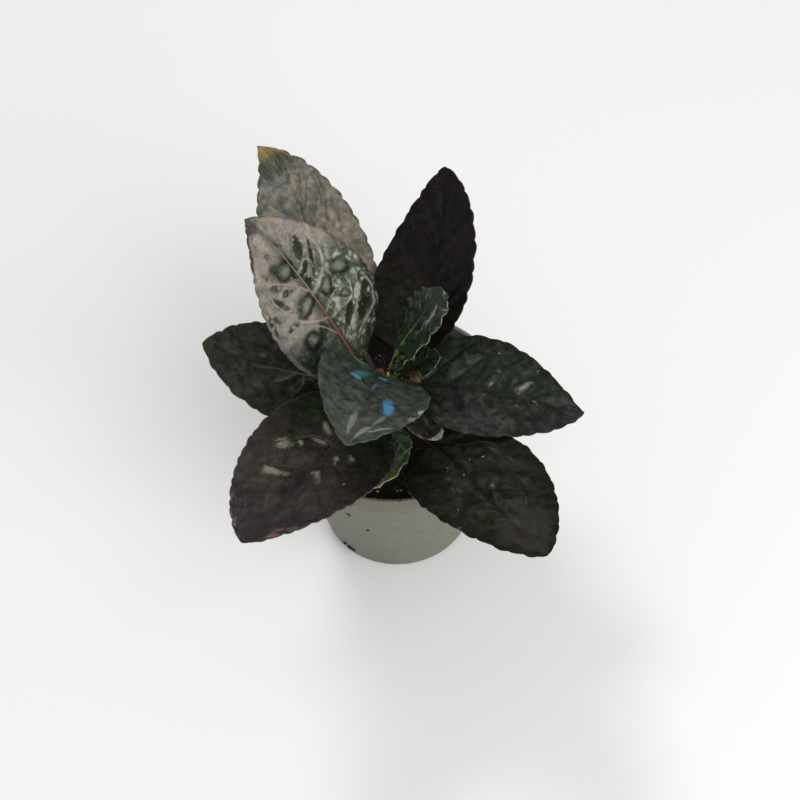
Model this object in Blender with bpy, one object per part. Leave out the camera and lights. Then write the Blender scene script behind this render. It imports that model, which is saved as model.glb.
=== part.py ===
# A small potted hemigraphis: puckered dark leaves on one short stem, soil and a nursery pot.
# Metres, +Z up. The origin is the centre of the pot's flat underside.
import math
from dataclasses import dataclass

import bmesh
import bpy
import numpy as np
from mathutils import Vector

MM = 0.001

# Pot
POT_HEIGHT = 48 * MM
RIM_RADIUS = 30 * MM
BASE_RADIUS = 20 * MM
BAND_HEIGHT = 5.4 * MM
BAND_DRAFT = 0.4 * MM
BAND_STEP = 1.0 * MM
WALL = 1.2 * MM
FLOOR = 1.5 * MM
EDGE_ROUND = 0.5 * MM
POT_SIDES = 48
DRAIN_HOLES = 6
DRAIN_RADIUS = 1.9 * MM
DRAIN_CIRCLE = 12.5 * MM
DRAIN_SIDES = 10

# Soil
GAP = 0.3 * MM
SOIL_TOP = POT_HEIGHT - 3 * MM
SOIL_LUMP = 0.5 * MM
SOIL_SIDES = 24
SOIL_RINGS = 4
PLANTING_DEPTH = 8 * MM

# Stem and bud, with heights above the soil
STEM_HEIGHT = 19 * MM
STEM_BASE_RADIUS = 1.5 * MM
STEM_TOP_RADIUS = 1.1 * MM
STEM_LEAN = Vector((-0.13, -0.02, 1.0))
STEM_SIDES = 10
STEM_RINGS = 8
BUD_LENGTH = 4.5 * MM
BUD_RADIUS = 1.2 * MM

# Leaf section: a thin lamina, thicker along the midrib and thinner at the margin
LAMINA = 0.6 * MM
MARGIN = 0.35 * MM
MIDRIB = 1.1 * MM
MIDRIB_TAPER = 0.6
PETIOLE_TAPER = 0.25
SCALLOP = 0.3 * MM
VEIN_PAIRS = 5
VEIN_SWEEP = 0.2
TIP_HALF_WIDTH = 0.4 * MM
TOP_COLUMNS = (-1.0, -0.75, -0.5, -0.25, 0.0, 0.25, 0.5, 0.75, 1.0)
BOTTOM_COLUMNS = (1.0, 0.5, 0.0, -0.5, -1.0)

SMALL = {"petiole_radius": 0.65, "blade_rings": 11, "petiole_rings": 3}


@dataclass
class Leaf:
    # Lengths in millimetres, angles in degrees. The azimuth turns from +X towards +Y,
    # a rise is an angle above level, and height is the node's place above the soil.
    name: str
    height: float
    azimuth: float
    petiole: float
    petiole_rise: float
    length: float
    width: float
    rise: float
    droop: float = 0
    turn: float = 0
    hook: float = 0
    roll: float = 0
    twist: float = 0
    fold: float = 0
    # Each side's share of half the width, and the powers that round its base and its tip.
    left: tuple = (1.0, 0.55, 0.8)
    right: tuple = (1.0, 0.55, 0.8)
    pucker: float = 1.0
    petiole_radius: float = 0.9
    blade_rings: int = 20
    petiole_rings: int = 4
    colour: tuple = (0.03, 0.033, 0.026)


LEAVES = (
    Leaf("leaf_back_left", height=4, azimuth=119, petiole=18, petiole_rise=40, length=62, width=28,
         rise=26, droop=27, turn=-34, hook=45, roll=-7, twist=-7, fold=3,
         left=(1.05, 0.47, 0.95), right=(0.97, 0.46, 0.87), pucker=0.7, colour=(0.10, 0.11, 0.09)),
    Leaf("leaf_upper_left", height=11.5, azimuth=155, petiole=7, petiole_rise=22, length=50.5, width=29.5,
         rise=67, droop=21, turn=-25, hook=36, roll=-6, twist=-34, fold=3,
         left=(0.99, 0.52, 0.91), right=(1.03, 0.52, 0.85), pucker=1.4, colour=(0.09, 0.09, 0.08)),
    Leaf("leaf_back_right", height=8.5, azimuth=55, petiole=9, petiole_rise=52, length=48, width=28.5,
         rise=35, droop=-16, turn=25, hook=10, roll=-14, twist=-17, fold=17,
         left=(0.98, 0.48, 0.75), right=(1.01, 0.48, 0.67), pucker=0.6, colour=(0.015, 0.013, 0.012)),
    Leaf("leaf_left", height=7, azimuth=183, petiole=15, petiole_rise=54, length=34.7, width=27,
         rise=22, droop=-18, hook=-9, roll=-10, twist=8,
         left=(1.02, 0.55, 0.8), right=(0.97, 0.56, 0.8), pucker=0.8),
    Leaf("leaf_lower_left", height=9, azimuth=238, petiole=9, petiole_rise=52, length=54.5, width=32,
         rise=14, droop=2, turn=5, hook=-16, roll=-21, twist=36, fold=17,
         left=(1.03, 0.53, 0.63), right=(1.0, 0.56, 0.64), pucker=1.2, colour=(0.035, 0.028, 0.027)),
    Leaf("leaf_front", height=18.5, azimuth=260, petiole=0.5, petiole_rise=8, length=39.6, width=28,
         rise=38, droop=18, turn=-8, hook=2, roll=-22, twist=4, fold=21,
         left=(0.98, 0.55, 0.82), right=(1.01, 0.56, 0.73), pucker=0.8, colour=(0.05, 0.065, 0.055)),
    Leaf("leaf_right", height=12, azimuth=-12, petiole=5.5, petiole_rise=38, length=43.6, width=28,
         rise=7, droop=21, turn=-16, hook=24, roll=8, twist=-6, fold=14,
         left=(0.97, 0.56, 0.94), right=(1.03, 0.54, 0.81)),
    Leaf("leaf_lower_right", height=1.6, azimuth=-61, petiole=17, petiole_rise=-3, length=52, width=31,
         rise=34, droop=34, turn=-7, hook=20, roll=6, twist=-26, fold=10,
         left=(1.05, 0.55, 0.59), right=(0.99, 0.65, 0.69), colour=(0.03, 0.028, 0.022)),
    Leaf("leaf_young_centre", height=15.8, azimuth=27, petiole=1.2, petiole_rise=18, length=25.4,
         width=19, rise=69, droop=42, turn=10, hook=14, roll=-42, twist=22,
         left=(1.1, 0.58, 0.6), right=(0.95, 0.52, 0.52), pucker=0.8, petiole_radius=0.8,
         blade_rings=16, petiole_rings=3, colour=(0.02, 0.04, 0.02)),
    Leaf("leaf_low_small", height=4.5, azimuth=272, petiole=9.5, petiole_rise=5, length=22.5, width=12,
         rise=13, turn=-34, hook=-27, roll=52, twist=-13, fold=-10, pucker=0.4,
         colour=(0.05, 0.08, 0.03), **SMALL),
    Leaf("leaf_young_folded", height=8.2, azimuth=-58, petiole=5.5, petiole_rise=-10, length=16.5, width=7,
         rise=18, droop=-2, turn=4, roll=10, twist=3, fold=28, left=(1.0, 0.62, 0.5),
         right=(1.0, 0.62, 0.5), pucker=0.2, colour=(0.05, 0.07, 0.05), **SMALL),
    Leaf("leaf_young_right", height=14.4, azimuth=0, petiole=2.5, petiole_rise=34, length=12, width=8.6,
         rise=34, droop=8, turn=8, roll=6, fold=4, left=(1.0, 0.65, 0.66), right=(1.0, 0.65, 0.66),
         pucker=0.4, colour=(0.02, 0.04, 0.02), **SMALL),
)


def clear_scene():
    for thing in list(bpy.data.objects):
        bpy.data.objects.remove(thing, do_unlink=True)


def make_material(name, colour, roughness):
    material = bpy.data.materials.new(name)
    material.use_nodes = True
    shader = material.node_tree.nodes["Principled BSDF"]
    shader.inputs["Base Color"].default_value = (*colour, 1.0)
    shader.inputs["Roughness"].default_value = roughness
    shader.inputs["Metallic"].default_value = 0.0
    return material


def add_object(name, mesh_source, material, smooth_angle=40):
    mesh = bpy.data.meshes.new(name)
    bmesh.ops.recalc_face_normals(mesh_source, faces=mesh_source.faces)
    mesh_source.to_mesh(mesh)
    mesh_source.free()
    mesh.materials.append(material)
    mesh.shade_smooth()
    mesh.set_sharp_from_angle(angle=math.radians(smooth_angle))
    thing = bpy.data.objects.new(name, mesh)
    bpy.context.scene.collection.objects.link(thing)
    return thing


def loft(rings):
    # Joins equal rings of points into one closed skin with a fan over each end.
    mesh = bmesh.new()
    loops = [[mesh.verts.new(point) for point in ring] for ring in rings]
    for low, high in zip(loops, loops[1:]):
        for i in range(len(low)):
            j = (i + 1) % len(low)
            mesh.faces.new((low[i], low[j], high[j], high[i]))
    for loop in (loops[0], loops[-1]):
        centre = mesh.verts.new(sum((v.co for v in loop), Vector()) / len(loop))
        for i in range(len(loop)):
            mesh.faces.new((loop[i], loop[(i + 1) % len(loop)], centre))
    return mesh


def circle_ring(centre, radius, sides):
    angles = [2 * math.pi * i / sides for i in range(sides)]
    return [centre + Vector((radius * math.cos(a), radius * math.sin(a), 0)) for a in angles]


def outer_radius(height):
    # The pot's tapered wall below the rim band.
    top = RIM_RADIUS - BAND_DRAFT - BAND_STEP
    return BASE_RADIUS + (top - BASE_RADIUS) * height / (POT_HEIGHT - BAND_HEIGHT)


def pot_profile():
    # Radius and height, from the underside's centre up the outside and down the inside.
    band = POT_HEIGHT - BAND_HEIGHT
    ledge = band - WALL
    return [
        (0, 0),
        (BASE_RADIUS - 2 * EDGE_ROUND, 0),
        (outer_radius(EDGE_ROUND), EDGE_ROUND),
        (outer_radius(band), band),
        (RIM_RADIUS - BAND_DRAFT, band),
        (RIM_RADIUS, POT_HEIGHT - EDGE_ROUND),
        (RIM_RADIUS - EDGE_ROUND / 2, POT_HEIGHT),
        (RIM_RADIUS - WALL / 2 - EDGE_ROUND / 2, POT_HEIGHT),
        (RIM_RADIUS - WALL, POT_HEIGHT - EDGE_ROUND),
        (RIM_RADIUS - BAND_DRAFT - WALL, band),
        (outer_radius(ledge) - WALL, ledge),
        (outer_radius(FLOOR) - WALL, FLOOR),
        (0, FLOOR),
    ]


def inner_radius(height):
    return outer_radius(height) - WALL


def make_pot():
    mesh = bmesh.new()
    points = [mesh.verts.new((radius, 0, height)) for radius, height in pot_profile()]
    edges = [mesh.edges.new(pair) for pair in zip(points, points[1:])]
    bmesh.ops.spin(mesh, geom=points + edges, cent=(0, 0, 0), axis=(0, 0, 1),
                   angle=2 * math.pi, steps=POT_SIDES, use_duplicate=False)
    bmesh.ops.remove_doubles(mesh, verts=mesh.verts, dist=0.01 * MM)
    pot = add_object("pot", mesh, make_material("pot_plastic", (0.38, 0.40, 0.37), 0.6), 30)
    for i in range(DRAIN_HOLES):
        angle = 2 * math.pi * (i + 0.5) / DRAIN_HOLES
        place = Vector((DRAIN_CIRCLE * math.cos(angle), DRAIN_CIRCLE * math.sin(angle), FLOOR / 2))
        cut_round_hole(pot, f"drain_cutter_{i + 1}", place, DRAIN_RADIUS, 3 * FLOOR, DRAIN_SIDES)


def cut_round_hole(target, name, place, radius, depth, sides):
    mesh = bmesh.new()
    bmesh.ops.create_cone(mesh, cap_ends=True, segments=sides, radius1=radius, radius2=radius, depth=depth)
    cutter = add_object(name, mesh, make_material(name, (0.5, 0.5, 0.5), 0.5))
    cutter.location = place
    cutter.hide_render = True
    cutter.display_type = "WIRE"
    cut = target.modifiers.new(name, "BOOLEAN")
    cut.operation = "DIFFERENCE"
    cut.solver = "EXACT"
    cut.object = cutter


def make_soil():
    # Fills the pot with a small gap all round; the top is lumpy and sinks a little at the wall.
    def lump(x, y):
        wave = math.sin(x * 620 + 1.3) * math.cos(y * 540 - 0.6) + 0.6 * math.sin((x + y) * 980)
        return SOIL_LUMP * wave

    floor = FLOOR + GAP
    shoulder = SOIL_TOP - BAND_HEIGHT
    edge = inner_radius(shoulder) - GAP
    rings = [circle_ring(Vector((0, 0, floor)), inner_radius(floor) - GAP, SOIL_SIDES),
             circle_ring(Vector((0, 0, shoulder)), edge, SOIL_SIDES)]
    for i in range(SOIL_RINGS):
        ring = circle_ring(Vector((0, 0, SOIL_TOP)), edge * (1 - i / SOIL_RINGS), SOIL_SIDES)
        for point in ring:
            point.z += lump(point.x, point.y) - SOIL_LUMP * (1 if i == 0 else 0)
        rings.append(ring)
    soil = add_object("soil", loft(rings), make_material("soil", (0.02, 0.016, 0.013), 0.95))
    top = stem_point(0)
    place = Vector((top.x, top.y, SOIL_TOP - PLANTING_DEPTH / 2 + 2 * SOIL_LUMP))
    cut_round_hole(soil, "planting_cutter", place, STEM_BASE_RADIUS + GAP, PLANTING_DEPTH, 16)


def stem_point(height):
    # The stem's axis: upright under the soil and leaning above it.
    foot = Vector((0, 0, SOIL_TOP))
    return foot + STEM_LEAN * height if height > 0 else foot + Vector((0, 0, height))


def stem_radius(height):
    share = max(0.0, height) / STEM_HEIGHT
    return STEM_BASE_RADIUS + (STEM_TOP_RADIUS - STEM_BASE_RADIUS) * share


def make_stem():
    sunk = PLANTING_DEPTH - 2 * SOIL_LUMP - 2 * GAP
    heights = [-sunk] + [STEM_HEIGHT * i / STEM_RINGS for i in range(STEM_RINGS + 1)]
    rings = [circle_ring(stem_point(h), stem_radius(h), STEM_SIDES) for h in heights]
    add_object("stem", loft(rings), make_material("stem", (0.10, 0.035, 0.03), 0.5))


def make_bud():
    # The closed pair of leaflets at the tip: a pointed drop.
    foot = stem_point(STEM_HEIGHT) + Vector((0, 0, GAP))
    rings = []
    for share, width in ((0, 0.7), (0.2, 0.95), (0.45, 1.0), (0.75, 0.6), (1.0, 0.12)):
        rings.append(circle_ring(foot + STEM_LEAN * BUD_LENGTH * share, BUD_RADIUS * width, 8))
    add_object("bud", loft(rings), make_material("bud", (0.05, 0.03, 0.035), 0.35))


def direction(azimuth, rise):
    flat = math.cos(rise)
    return np.array([flat * math.cos(azimuth), flat * math.sin(azimuth), math.sin(rise)])


def petiole_path(leaf):
    # From the stem's surface, bending from the petiole's own rise to the blade's.
    azimuth = math.radians(leaf.azimuth)
    height = leaf.height * MM
    tilt = abs(math.sin(math.radians(leaf.petiole_rise)))
    start = np.array(stem_point(height))
    start += direction(azimuth, 0) * (stem_radius(height) + GAP + leaf.petiole_radius * MM * tilt)
    path = [start]
    for i in range(leaf.petiole_rings):
        share = (i + 0.5) / leaf.petiole_rings
        rise = math.radians(leaf.petiole_rise + (leaf.rise - leaf.petiole_rise) * share)
        path.append(path[-1] + direction(azimuth, rise) * leaf.petiole * MM / leaf.petiole_rings)
    return path


def blade_frame(leaf, share):
    # Forward, leftward and upward directions of the blade at a share of its length.
    azimuth = math.radians(leaf.azimuth + leaf.turn * share + leaf.hook * share ** 3)
    forward = direction(azimuth, math.radians(leaf.rise - leaf.droop * share))
    level = np.array([-math.sin(azimuth), math.cos(azimuth), 0.0])
    up = np.cross(forward, level)
    roll = math.radians(leaf.roll + leaf.twist * share)
    left = level * math.cos(roll) + up * math.sin(roll)
    return forward, left, up * math.cos(roll) - level * math.sin(roll)


def half_width(leaf, share, column):
    # An ovate outline, widest where the side's two powers balance.
    portion, base, tip = leaf.left if column > 0 else leaf.right
    peak = base / (base + tip)
    full = (share ** base) * ((1 - share) ** tip) / ((peak ** base) * ((1 - peak) ** tip))
    return leaf.width * MM / 2 * portion * full


def pucker_height(leaf, share, column):
    # Bulges between sunken side veins that sweep towards the tip.
    across = abs(column)
    phase = VEIN_PAIRS * (share + 0.05 - VEIN_SWEEP * across)
    bulge = abs(math.sin(math.pi * phase)) ** 0.7
    inside = math.sin(math.pi * min(1.0, across) ** 0.8) ** 0.8 if 0 < across < 1 else 0.0
    ends = math.sin(math.pi * share) ** 0.5 if 0 < share < 1 else 0.0
    return leaf.pucker * MM * bulge * inside * ends


def blade_ring(leaf, share, place, scallop):
    left, up = blade_frame(leaf, share)[1:]
    slope = math.tan(math.radians(leaf.fold))

    def point(column, depth):
        out = column * max(half_width(leaf, share, column) + scallop, TIP_HALF_WIDTH)
        rise = abs(out) * slope + pucker_height(leaf, share, column) - depth
        return Vector(place + left * out + up * rise)

    def depth_at(column):
        across = abs(column)
        if across == 0:
            return MIDRIB * (1 - MIDRIB_TAPER * share)
        return LAMINA + (MARGIN - LAMINA) * across

    top = [point(column, 0) for column in TOP_COLUMNS]
    return top + [point(column, depth_at(column)) for column in BOTTOM_COLUMNS]


def petiole_ring(leaf, place, left, up, radius):
    # The same number of points as a blade ring, spread round an oval.
    angles = [math.pi - math.pi * (i + 0.5) / len(TOP_COLUMNS) for i in range(len(TOP_COLUMNS))]
    angles += [-math.pi * (i + 0.5) / len(BOTTOM_COLUMNS) for i in range(len(BOTTOM_COLUMNS))]
    return [Vector(place + left * radius * math.cos(a) + up * radius * math.sin(a)) for a in angles]


def leaf_rings(leaf):
    path = petiole_path(leaf)
    left = blade_frame(leaf, 0)[1]
    azimuth = math.radians(leaf.azimuth)
    level = np.array([-math.sin(azimuth), math.cos(azimuth), 0.0])
    rings = []
    for i, place in enumerate(path):
        share = i / leaf.petiole_rings
        side = level * (1 - share) + left * share
        side /= np.linalg.norm(side)
        rise = math.radians(leaf.petiole_rise + (leaf.rise - leaf.petiole_rise) * share)
        over = np.cross(direction(azimuth, rise), side)
        radius = leaf.petiole_radius * MM * (1 - PETIOLE_TAPER * share)
        rings.append(petiole_ring(leaf, place, side, over, radius))
    place = path[-1]
    last = 0.0
    for i in range(1, leaf.blade_rings + 1):
        share = 0.5 - 0.5 * math.cos(math.pi * i / leaf.blade_rings)
        for part in (0.25, 0.75):
            middle = last + (share - last) * part
            place = place + blade_frame(leaf, middle)[0] * leaf.length * MM * (share - last) / 2
        scallop = SCALLOP * (1 if i % 2 else -1) if 1 < i < leaf.blade_rings - 1 else 0.0
        rings.append(blade_ring(leaf, min(share, 1.0), place, scallop))
        last = share
    return rings


def make_leaf(leaf):
    material = make_material(leaf.name, leaf.colour, 0.4)
    add_object(leaf.name, loft(leaf_rings(leaf)), material, 60)


def main():
    clear_scene()
    make_pot()
    make_soil()
    make_stem()
    make_bud()
    for leaf in LEAVES:
        make_leaf(leaf)


main()
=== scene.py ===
import math

import bpy
import numpy as np
from mathutils import Matrix, Vector


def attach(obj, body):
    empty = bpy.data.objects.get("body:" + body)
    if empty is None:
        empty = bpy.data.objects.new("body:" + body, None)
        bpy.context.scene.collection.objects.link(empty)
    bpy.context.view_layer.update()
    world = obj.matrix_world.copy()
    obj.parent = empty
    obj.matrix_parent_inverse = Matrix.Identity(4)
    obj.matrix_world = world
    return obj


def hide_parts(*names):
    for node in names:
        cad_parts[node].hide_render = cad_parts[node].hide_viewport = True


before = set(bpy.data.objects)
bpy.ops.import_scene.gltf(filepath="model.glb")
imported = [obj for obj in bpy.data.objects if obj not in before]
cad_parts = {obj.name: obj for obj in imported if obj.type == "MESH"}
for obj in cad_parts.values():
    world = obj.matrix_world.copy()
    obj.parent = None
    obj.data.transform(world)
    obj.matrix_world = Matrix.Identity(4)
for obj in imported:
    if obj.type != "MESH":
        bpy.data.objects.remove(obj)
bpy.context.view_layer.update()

# A small potted hemigraphis: puckered dark leaves, a short stem, soil and a nursery pot.
# Sizes are in millimetres and angles in degrees until a mesh is written.
mm = 0.001


# Small helpers for objects and their points

def activate(*pieces):
    bpy.ops.object.select_all(action="DESELECT")
    for piece in pieces:
        piece.select_set(True)
    bpy.context.view_layer.objects.active = pieces[0]


def readPoints(piece):
    points = np.empty(len(piece.data.vertices) * 3)
    piece.data.vertices.foreach_get("co", points)
    return points.reshape(-1, 3)


def writePoints(piece, points):
    piece.data.vertices.foreach_set("co", np.asarray(points, dtype=float).ravel())
    piece.data.update()


def paint(piece, name, values):
    layer = piece.data.attributes.get(name) or piece.data.attributes.new(name, "FLOAT", "POINT")
    layer.data.foreach_set("value", np.broadcast_to(values, len(piece.data.vertices)).astype(float))


def flatSheet(name, cols, rows):
    # A grid of squares, with its two coordinates running from 0 to 1.
    bpy.ops.mesh.primitive_grid_add(x_subdivisions=cols, y_subdivisions=rows, size=2)
    sheet = bpy.context.active_object
    sheet.name = sheet.data.name = name
    spots = readPoints(sheet)
    return sheet, (spots[:, 0] + 1) / 2, (spots[:, 1] + 1) / 2


def closeSeams(piece):
    # Merges what a rolled sheet brings together and turns its faces outwards.
    seam = 0.004 * mm
    activate(piece)
    bpy.ops.object.mode_set(mode="EDIT")
    bpy.ops.mesh.select_all(action="SELECT")
    bpy.ops.mesh.remove_doubles(threshold=seam)
    bpy.ops.mesh.normals_make_consistent(inside=False)
    bpy.ops.object.mode_set(mode="OBJECT")


def applyModifier(piece, kind, **settings):
    activate(piece)
    modifier = piece.modifiers.new(kind.lower(), kind)
    for key, value in settings.items():
        setattr(modifier, key, value)
    bpy.ops.object.modifier_apply(modifier=modifier.name)


def joinPieces(pieces, name):
    activate(*pieces)
    bpy.ops.object.join()
    pieces[0].name = pieces[0].data.name = name
    return pieces[0]


def smooth(piece, sharpFrom=180):
    # Smooth shading, with hard edges where the faces turn by more than an angle.
    activate(piece)
    if sharpFrom < 180:
        bpy.ops.object.shade_smooth_by_angle(angle=math.radians(sharpFrom))
    else:
        bpy.ops.object.shade_smooth()


def finishPiece(piece, node):
    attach(piece, "root")
    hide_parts(node)


def hashed(x, y, seed):
    # Three numbers from 0 to 1 that look random but are the same for the same place, each run.
    wave = np.sin(x * 127.1 + y * 311.7 + seed * 74.7) * 43758.5453
    return wave - np.floor(wave), np.modf(np.abs(wave) * 7.31)[0], np.modf(np.abs(wave) * 3.77 + 0.37)[0]


def cells(x, y, seed, jitter=0.8):
    # Distances to the nearest and second nearest of scattered seeds, and the nearest one's number.
    near = np.full(np.shape(x), 9.0)
    second = near.copy()
    number = np.zeros(np.shape(x))
    for stepX in (-1, 0, 1):
        for stepY in (-1, 0, 1):
            cellX = np.floor(x) + stepX
            cellY = np.floor(y) + stepY
            a, b, c = hashed(cellX, cellY, seed)
            gap = np.hypot(cellX + 0.5 + jitter * (a - 0.5) - x, cellY + 0.5 + jitter * (b - 0.5) - y)
            closer = gap < near
            second = np.where(closer, near, np.minimum(second, gap))
            number = np.where(closer, c, number)
            near = np.where(closer, gap, near)
    return near, second, number


# Camera, floor and lights

cameraSetting = {
    "lens": 50, "sensor": 24, "distance": 426.4, "clipStart": 10,
    "target": (2.0, 0.8, 48.0), "elevation": 54.3, "roll": -3.2,
}
stageSetting = {
    "floor": 6000, "floorColour": (0.93, 0.93, 0.93), "floorRough": 0.9,
    "worldColour": (0.97, 0.98, 1.0), "worldGlow": 0.42, "plantMiddle": 70,
}
# Each lamp is a soft panel: the direction it stands in, its size and how bright its face is.
lamps = {
    "highBack": {"azimuth": 118, "elevation": 54, "distance": 900, "size": (260, 220), "glow": 13.0,
                 "colour": (1, 0.98, 0.95)},
    "lowFront": {"azimuth": -46, "elevation": 16, "distance": 900, "size": (900, 420), "glow": 4.5,
                 "colour": (1, 0.97, 0.94)},
    "highFront": {"azimuth": -64, "elevation": 52, "distance": 1100, "size": (900, 600), "glow": 2.4,
                  "colour": (0.98, 0.99, 1)},
}


def placeCamera(setting):
    tilt = math.radians(setting["elevation"])
    roll = math.radians(setting["roll"])
    back = Vector((0, -math.cos(tilt), math.sin(tilt)))
    side = Vector((1, 0, 0))
    up = back.cross(side)
    right = side * math.cos(roll) + up * math.sin(roll)
    top = up * math.cos(roll) - side * math.sin(roll)
    place = (Vector(setting["target"]) + back * setting["distance"]) * mm
    bpy.ops.object.camera_add()
    camera = bpy.context.active_object
    camera.matrix_world = Matrix(((*right, 0), (*top, 0), (*back, 0), (*place, 1))).transposed()
    camera.data.lens = setting["lens"]
    camera.data.sensor_width = setting["sensor"]
    camera.data.clip_start = setting["clipStart"] * mm
    bpy.context.scene.camera = camera


def placeLamp(name, lamp):
    azimuth = math.radians(lamp["azimuth"])
    elevation = math.radians(lamp["elevation"])
    flat = math.cos(elevation)
    way = Vector((flat * math.cos(azimuth), flat * math.sin(azimuth), math.sin(elevation)))
    place = way * lamp["distance"] + Vector((0, 0, stageSetting["plantMiddle"]))
    width, height = (length * mm for length in lamp["size"])
    bpy.ops.object.light_add(type="AREA")
    light = bpy.context.active_object
    light.name = name
    light.matrix_world = Matrix.Translation(place * mm) @ way.to_track_quat("Z", "Y").to_matrix().to_4x4()
    light.data.shape = "RECTANGLE"
    light.data.size = width
    light.data.size_y = height
    light.data.energy = lamp["glow"] * math.pi * width * height
    light.data.color = lamp["colour"]


def makeStage(setting):
    bpy.ops.mesh.primitive_plane_add(size=setting["floor"] * mm)
    floor = bpy.context.active_object
    floor.name = "floor"
    paleFloor = bpy.data.materials.new("paleFloor")
    paleFloor.use_nodes = True
    shader = paleFloor.node_tree.nodes["Principled BSDF"].inputs
    shader["Base Color"].default_value = (*setting["floorColour"], 1)
    shader["Roughness"].default_value = setting["floorRough"]
    shader["Specular IOR Level"].default_value = 0.0
    floor.data.materials.append(paleFloor)
    world = bpy.context.scene.world or bpy.data.worlds.new("World")
    bpy.context.scene.world = world
    world.use_nodes = True
    backdrop = world.node_tree.nodes["Background"].inputs
    backdrop[0].default_value = (*setting["worldColour"], 1)
    backdrop[1].default_value = setting["worldGlow"]


placeCamera(cameraSetting)
bpy.context.scene.view_settings.view_transform = "Standard"
makeStage(stageSetting)
for lampName, lampSetting in lamps.items():
    placeLamp(lampName, lampSetting)
print("camera, floor and lamps are set")


# Shader nodes, and groups of them that several finishes share

def plug(tree, value, socket):
    # Links an output, or sets a plain value.
    if isinstance(value, bpy.types.NodeSocket):
        tree.links.new(value, socket)
    elif socket.type == "RGBA":
        socket.default_value = (*value, 1)
    else:
        socket.default_value = value


def maths(tree, operation, *values):
    node = tree.nodes.new("ShaderNodeMath")
    node.operation = operation
    for socket, value in zip(node.inputs, values):
        plug(tree, value, socket)
    return node.outputs[0]


def times(tree, first, second):
    return maths(tree, "MULTIPLY", first, second)


def ramp(tree, value, low, high, start=0.0, end=1.0):
    node = tree.nodes.new("ShaderNodeMapRange")
    node.interpolation_type = "SMOOTHSTEP"
    for socket, number in zip(node.inputs, (value, low, high, start, end)):
        plug(tree, number, socket)
    return node.outputs[0]


def blend(tree, mask, under, over, mode="MIX"):
    node = tree.nodes.new("ShaderNodeMix")
    node.data_type = "RGBA"
    node.blend_type = mode
    for place, value in ((0, mask), (6, under), (7, over)):
        plug(tree, value, node.inputs[place])
    return node.outputs[2]


def cover(tree, colour, mask, amount, over):
    return blend(tree, times(tree, mask, amount), colour, over)


def attribute(tree, name):
    node = tree.nodes.new("ShaderNodeAttribute")
    node.attribute_name = name
    return node.outputs["Fac"]


def objectPlace(tree):
    return tree.nodes.new("ShaderNodeTexCoord").outputs["Object"]


def noise(tree, scale, detail=3.0, roughness=0.55):
    node = tree.nodes.new("ShaderNodeTexNoise")
    settings = {"Vector": objectPlace(tree), "Scale": scale, "Detail": detail, "Roughness": roughness}
    for label, value in settings.items():
        plug(tree, value, node.inputs[label])
    return node.outputs["Fac"]


def ragged(tree, value, amount, *grain):
    # A mask whose edge is broken up by noise.
    return maths(tree, "ADD", value, times(tree, maths(tree, "SUBTRACT", noise(tree, *grain), 0.5), amount))


def newGroup(name, inputs, output):
    # A group with inputs of usual values and one output, all plain numbers.
    group = bpy.data.node_groups.new(name, "ShaderNodeTree")
    for label, value in inputs.items():
        socket = group.interface.new_socket(name=label, in_out="INPUT", socket_type="NodeSocketFloat")
        socket.default_value = value
    group.interface.new_socket(name=output, in_out="OUTPUT", socket_type="NodeSocketFloat")
    return group, group.nodes.new("NodeGroupInput").outputs, group.nodes.new("NodeGroupOutput").inputs[0]


def makePatches():
    # Soft cloudy patches: a mask from 0 to 1.
    group, given, out = newGroup("cloudyPatches", {"Scale": 200.0, "Low": 0.4, "High": 0.6}, "Mask")
    plug(group, ramp(group, noise(group, given["Scale"]), given["Low"], given["High"]), out)
    return group


markSockets = ("At Share", "At Across", "Long", "Wide", "Lean")


def makeMark():
    # A soft oval mark on a leaf, placed by the leaf's own share and across values.
    usual = dict(zip(("Share", "Across", *markSockets), (0.0, 0.0, 0.5, 0.0, 0.05, 0.1, 0.0)))
    group, given, out = newGroup("leafMark", usual, "Mask")
    ahead = maths(group, "SUBTRACT", given["Share"], given["At Share"])
    aside = maths(group, "SUBTRACT", given["Across"], given["At Across"])
    aside = maths(group, "SUBTRACT", aside, times(group, ahead, given["Lean"]))
    along = maths(group, "DIVIDE", ahead, given["Long"])
    aside = maths(group, "DIVIDE", aside, given["Wide"])
    far = maths(group, "SQRT", maths(group, "ADD", times(group, along, along), times(group, aside, aside)))
    plug(group, ramp(group, ragged(group, far, 0.9, 900.0), 1.15, 0.65), out)
    return group


def makeSkin():
    # The fine cell grain of a leaf or of moulded plastic, as a height.
    group, given, out = newGroup("fineGrain", {"Scale": 2500.0, "Coarse": 0.3}, "Height")
    pits = group.nodes.new("ShaderNodeTexVoronoi")
    pits.feature = "SMOOTH_F1"
    plug(group, objectPlace(group), pits.inputs["Vector"])
    plug(group, given["Scale"], pits.inputs["Scale"])
    wide = noise(group, times(group, given["Scale"], 0.25), 4.0)
    plug(group, maths(group, "ADD", times(group, wide, given["Coarse"]), pits.outputs["Distance"]), out)
    return group


patches = makePatches()
leafMark = makeMark()
fineGrain = makeSkin()


def useGroup(tree, group, values):
    node = tree.nodes.new("ShaderNodeGroup")
    node.node_tree = group
    for label, value in values.items():
        plug(tree, value, node.inputs[label])
    return node.outputs[0]


def cloudy(tree, scale, low, high):
    return useGroup(tree, patches, {"Scale": scale, "Low": low, "High": high})


def newFinish(name):
    material = bpy.data.materials.new(name)
    material.use_nodes = True
    return material, material.node_tree


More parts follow.
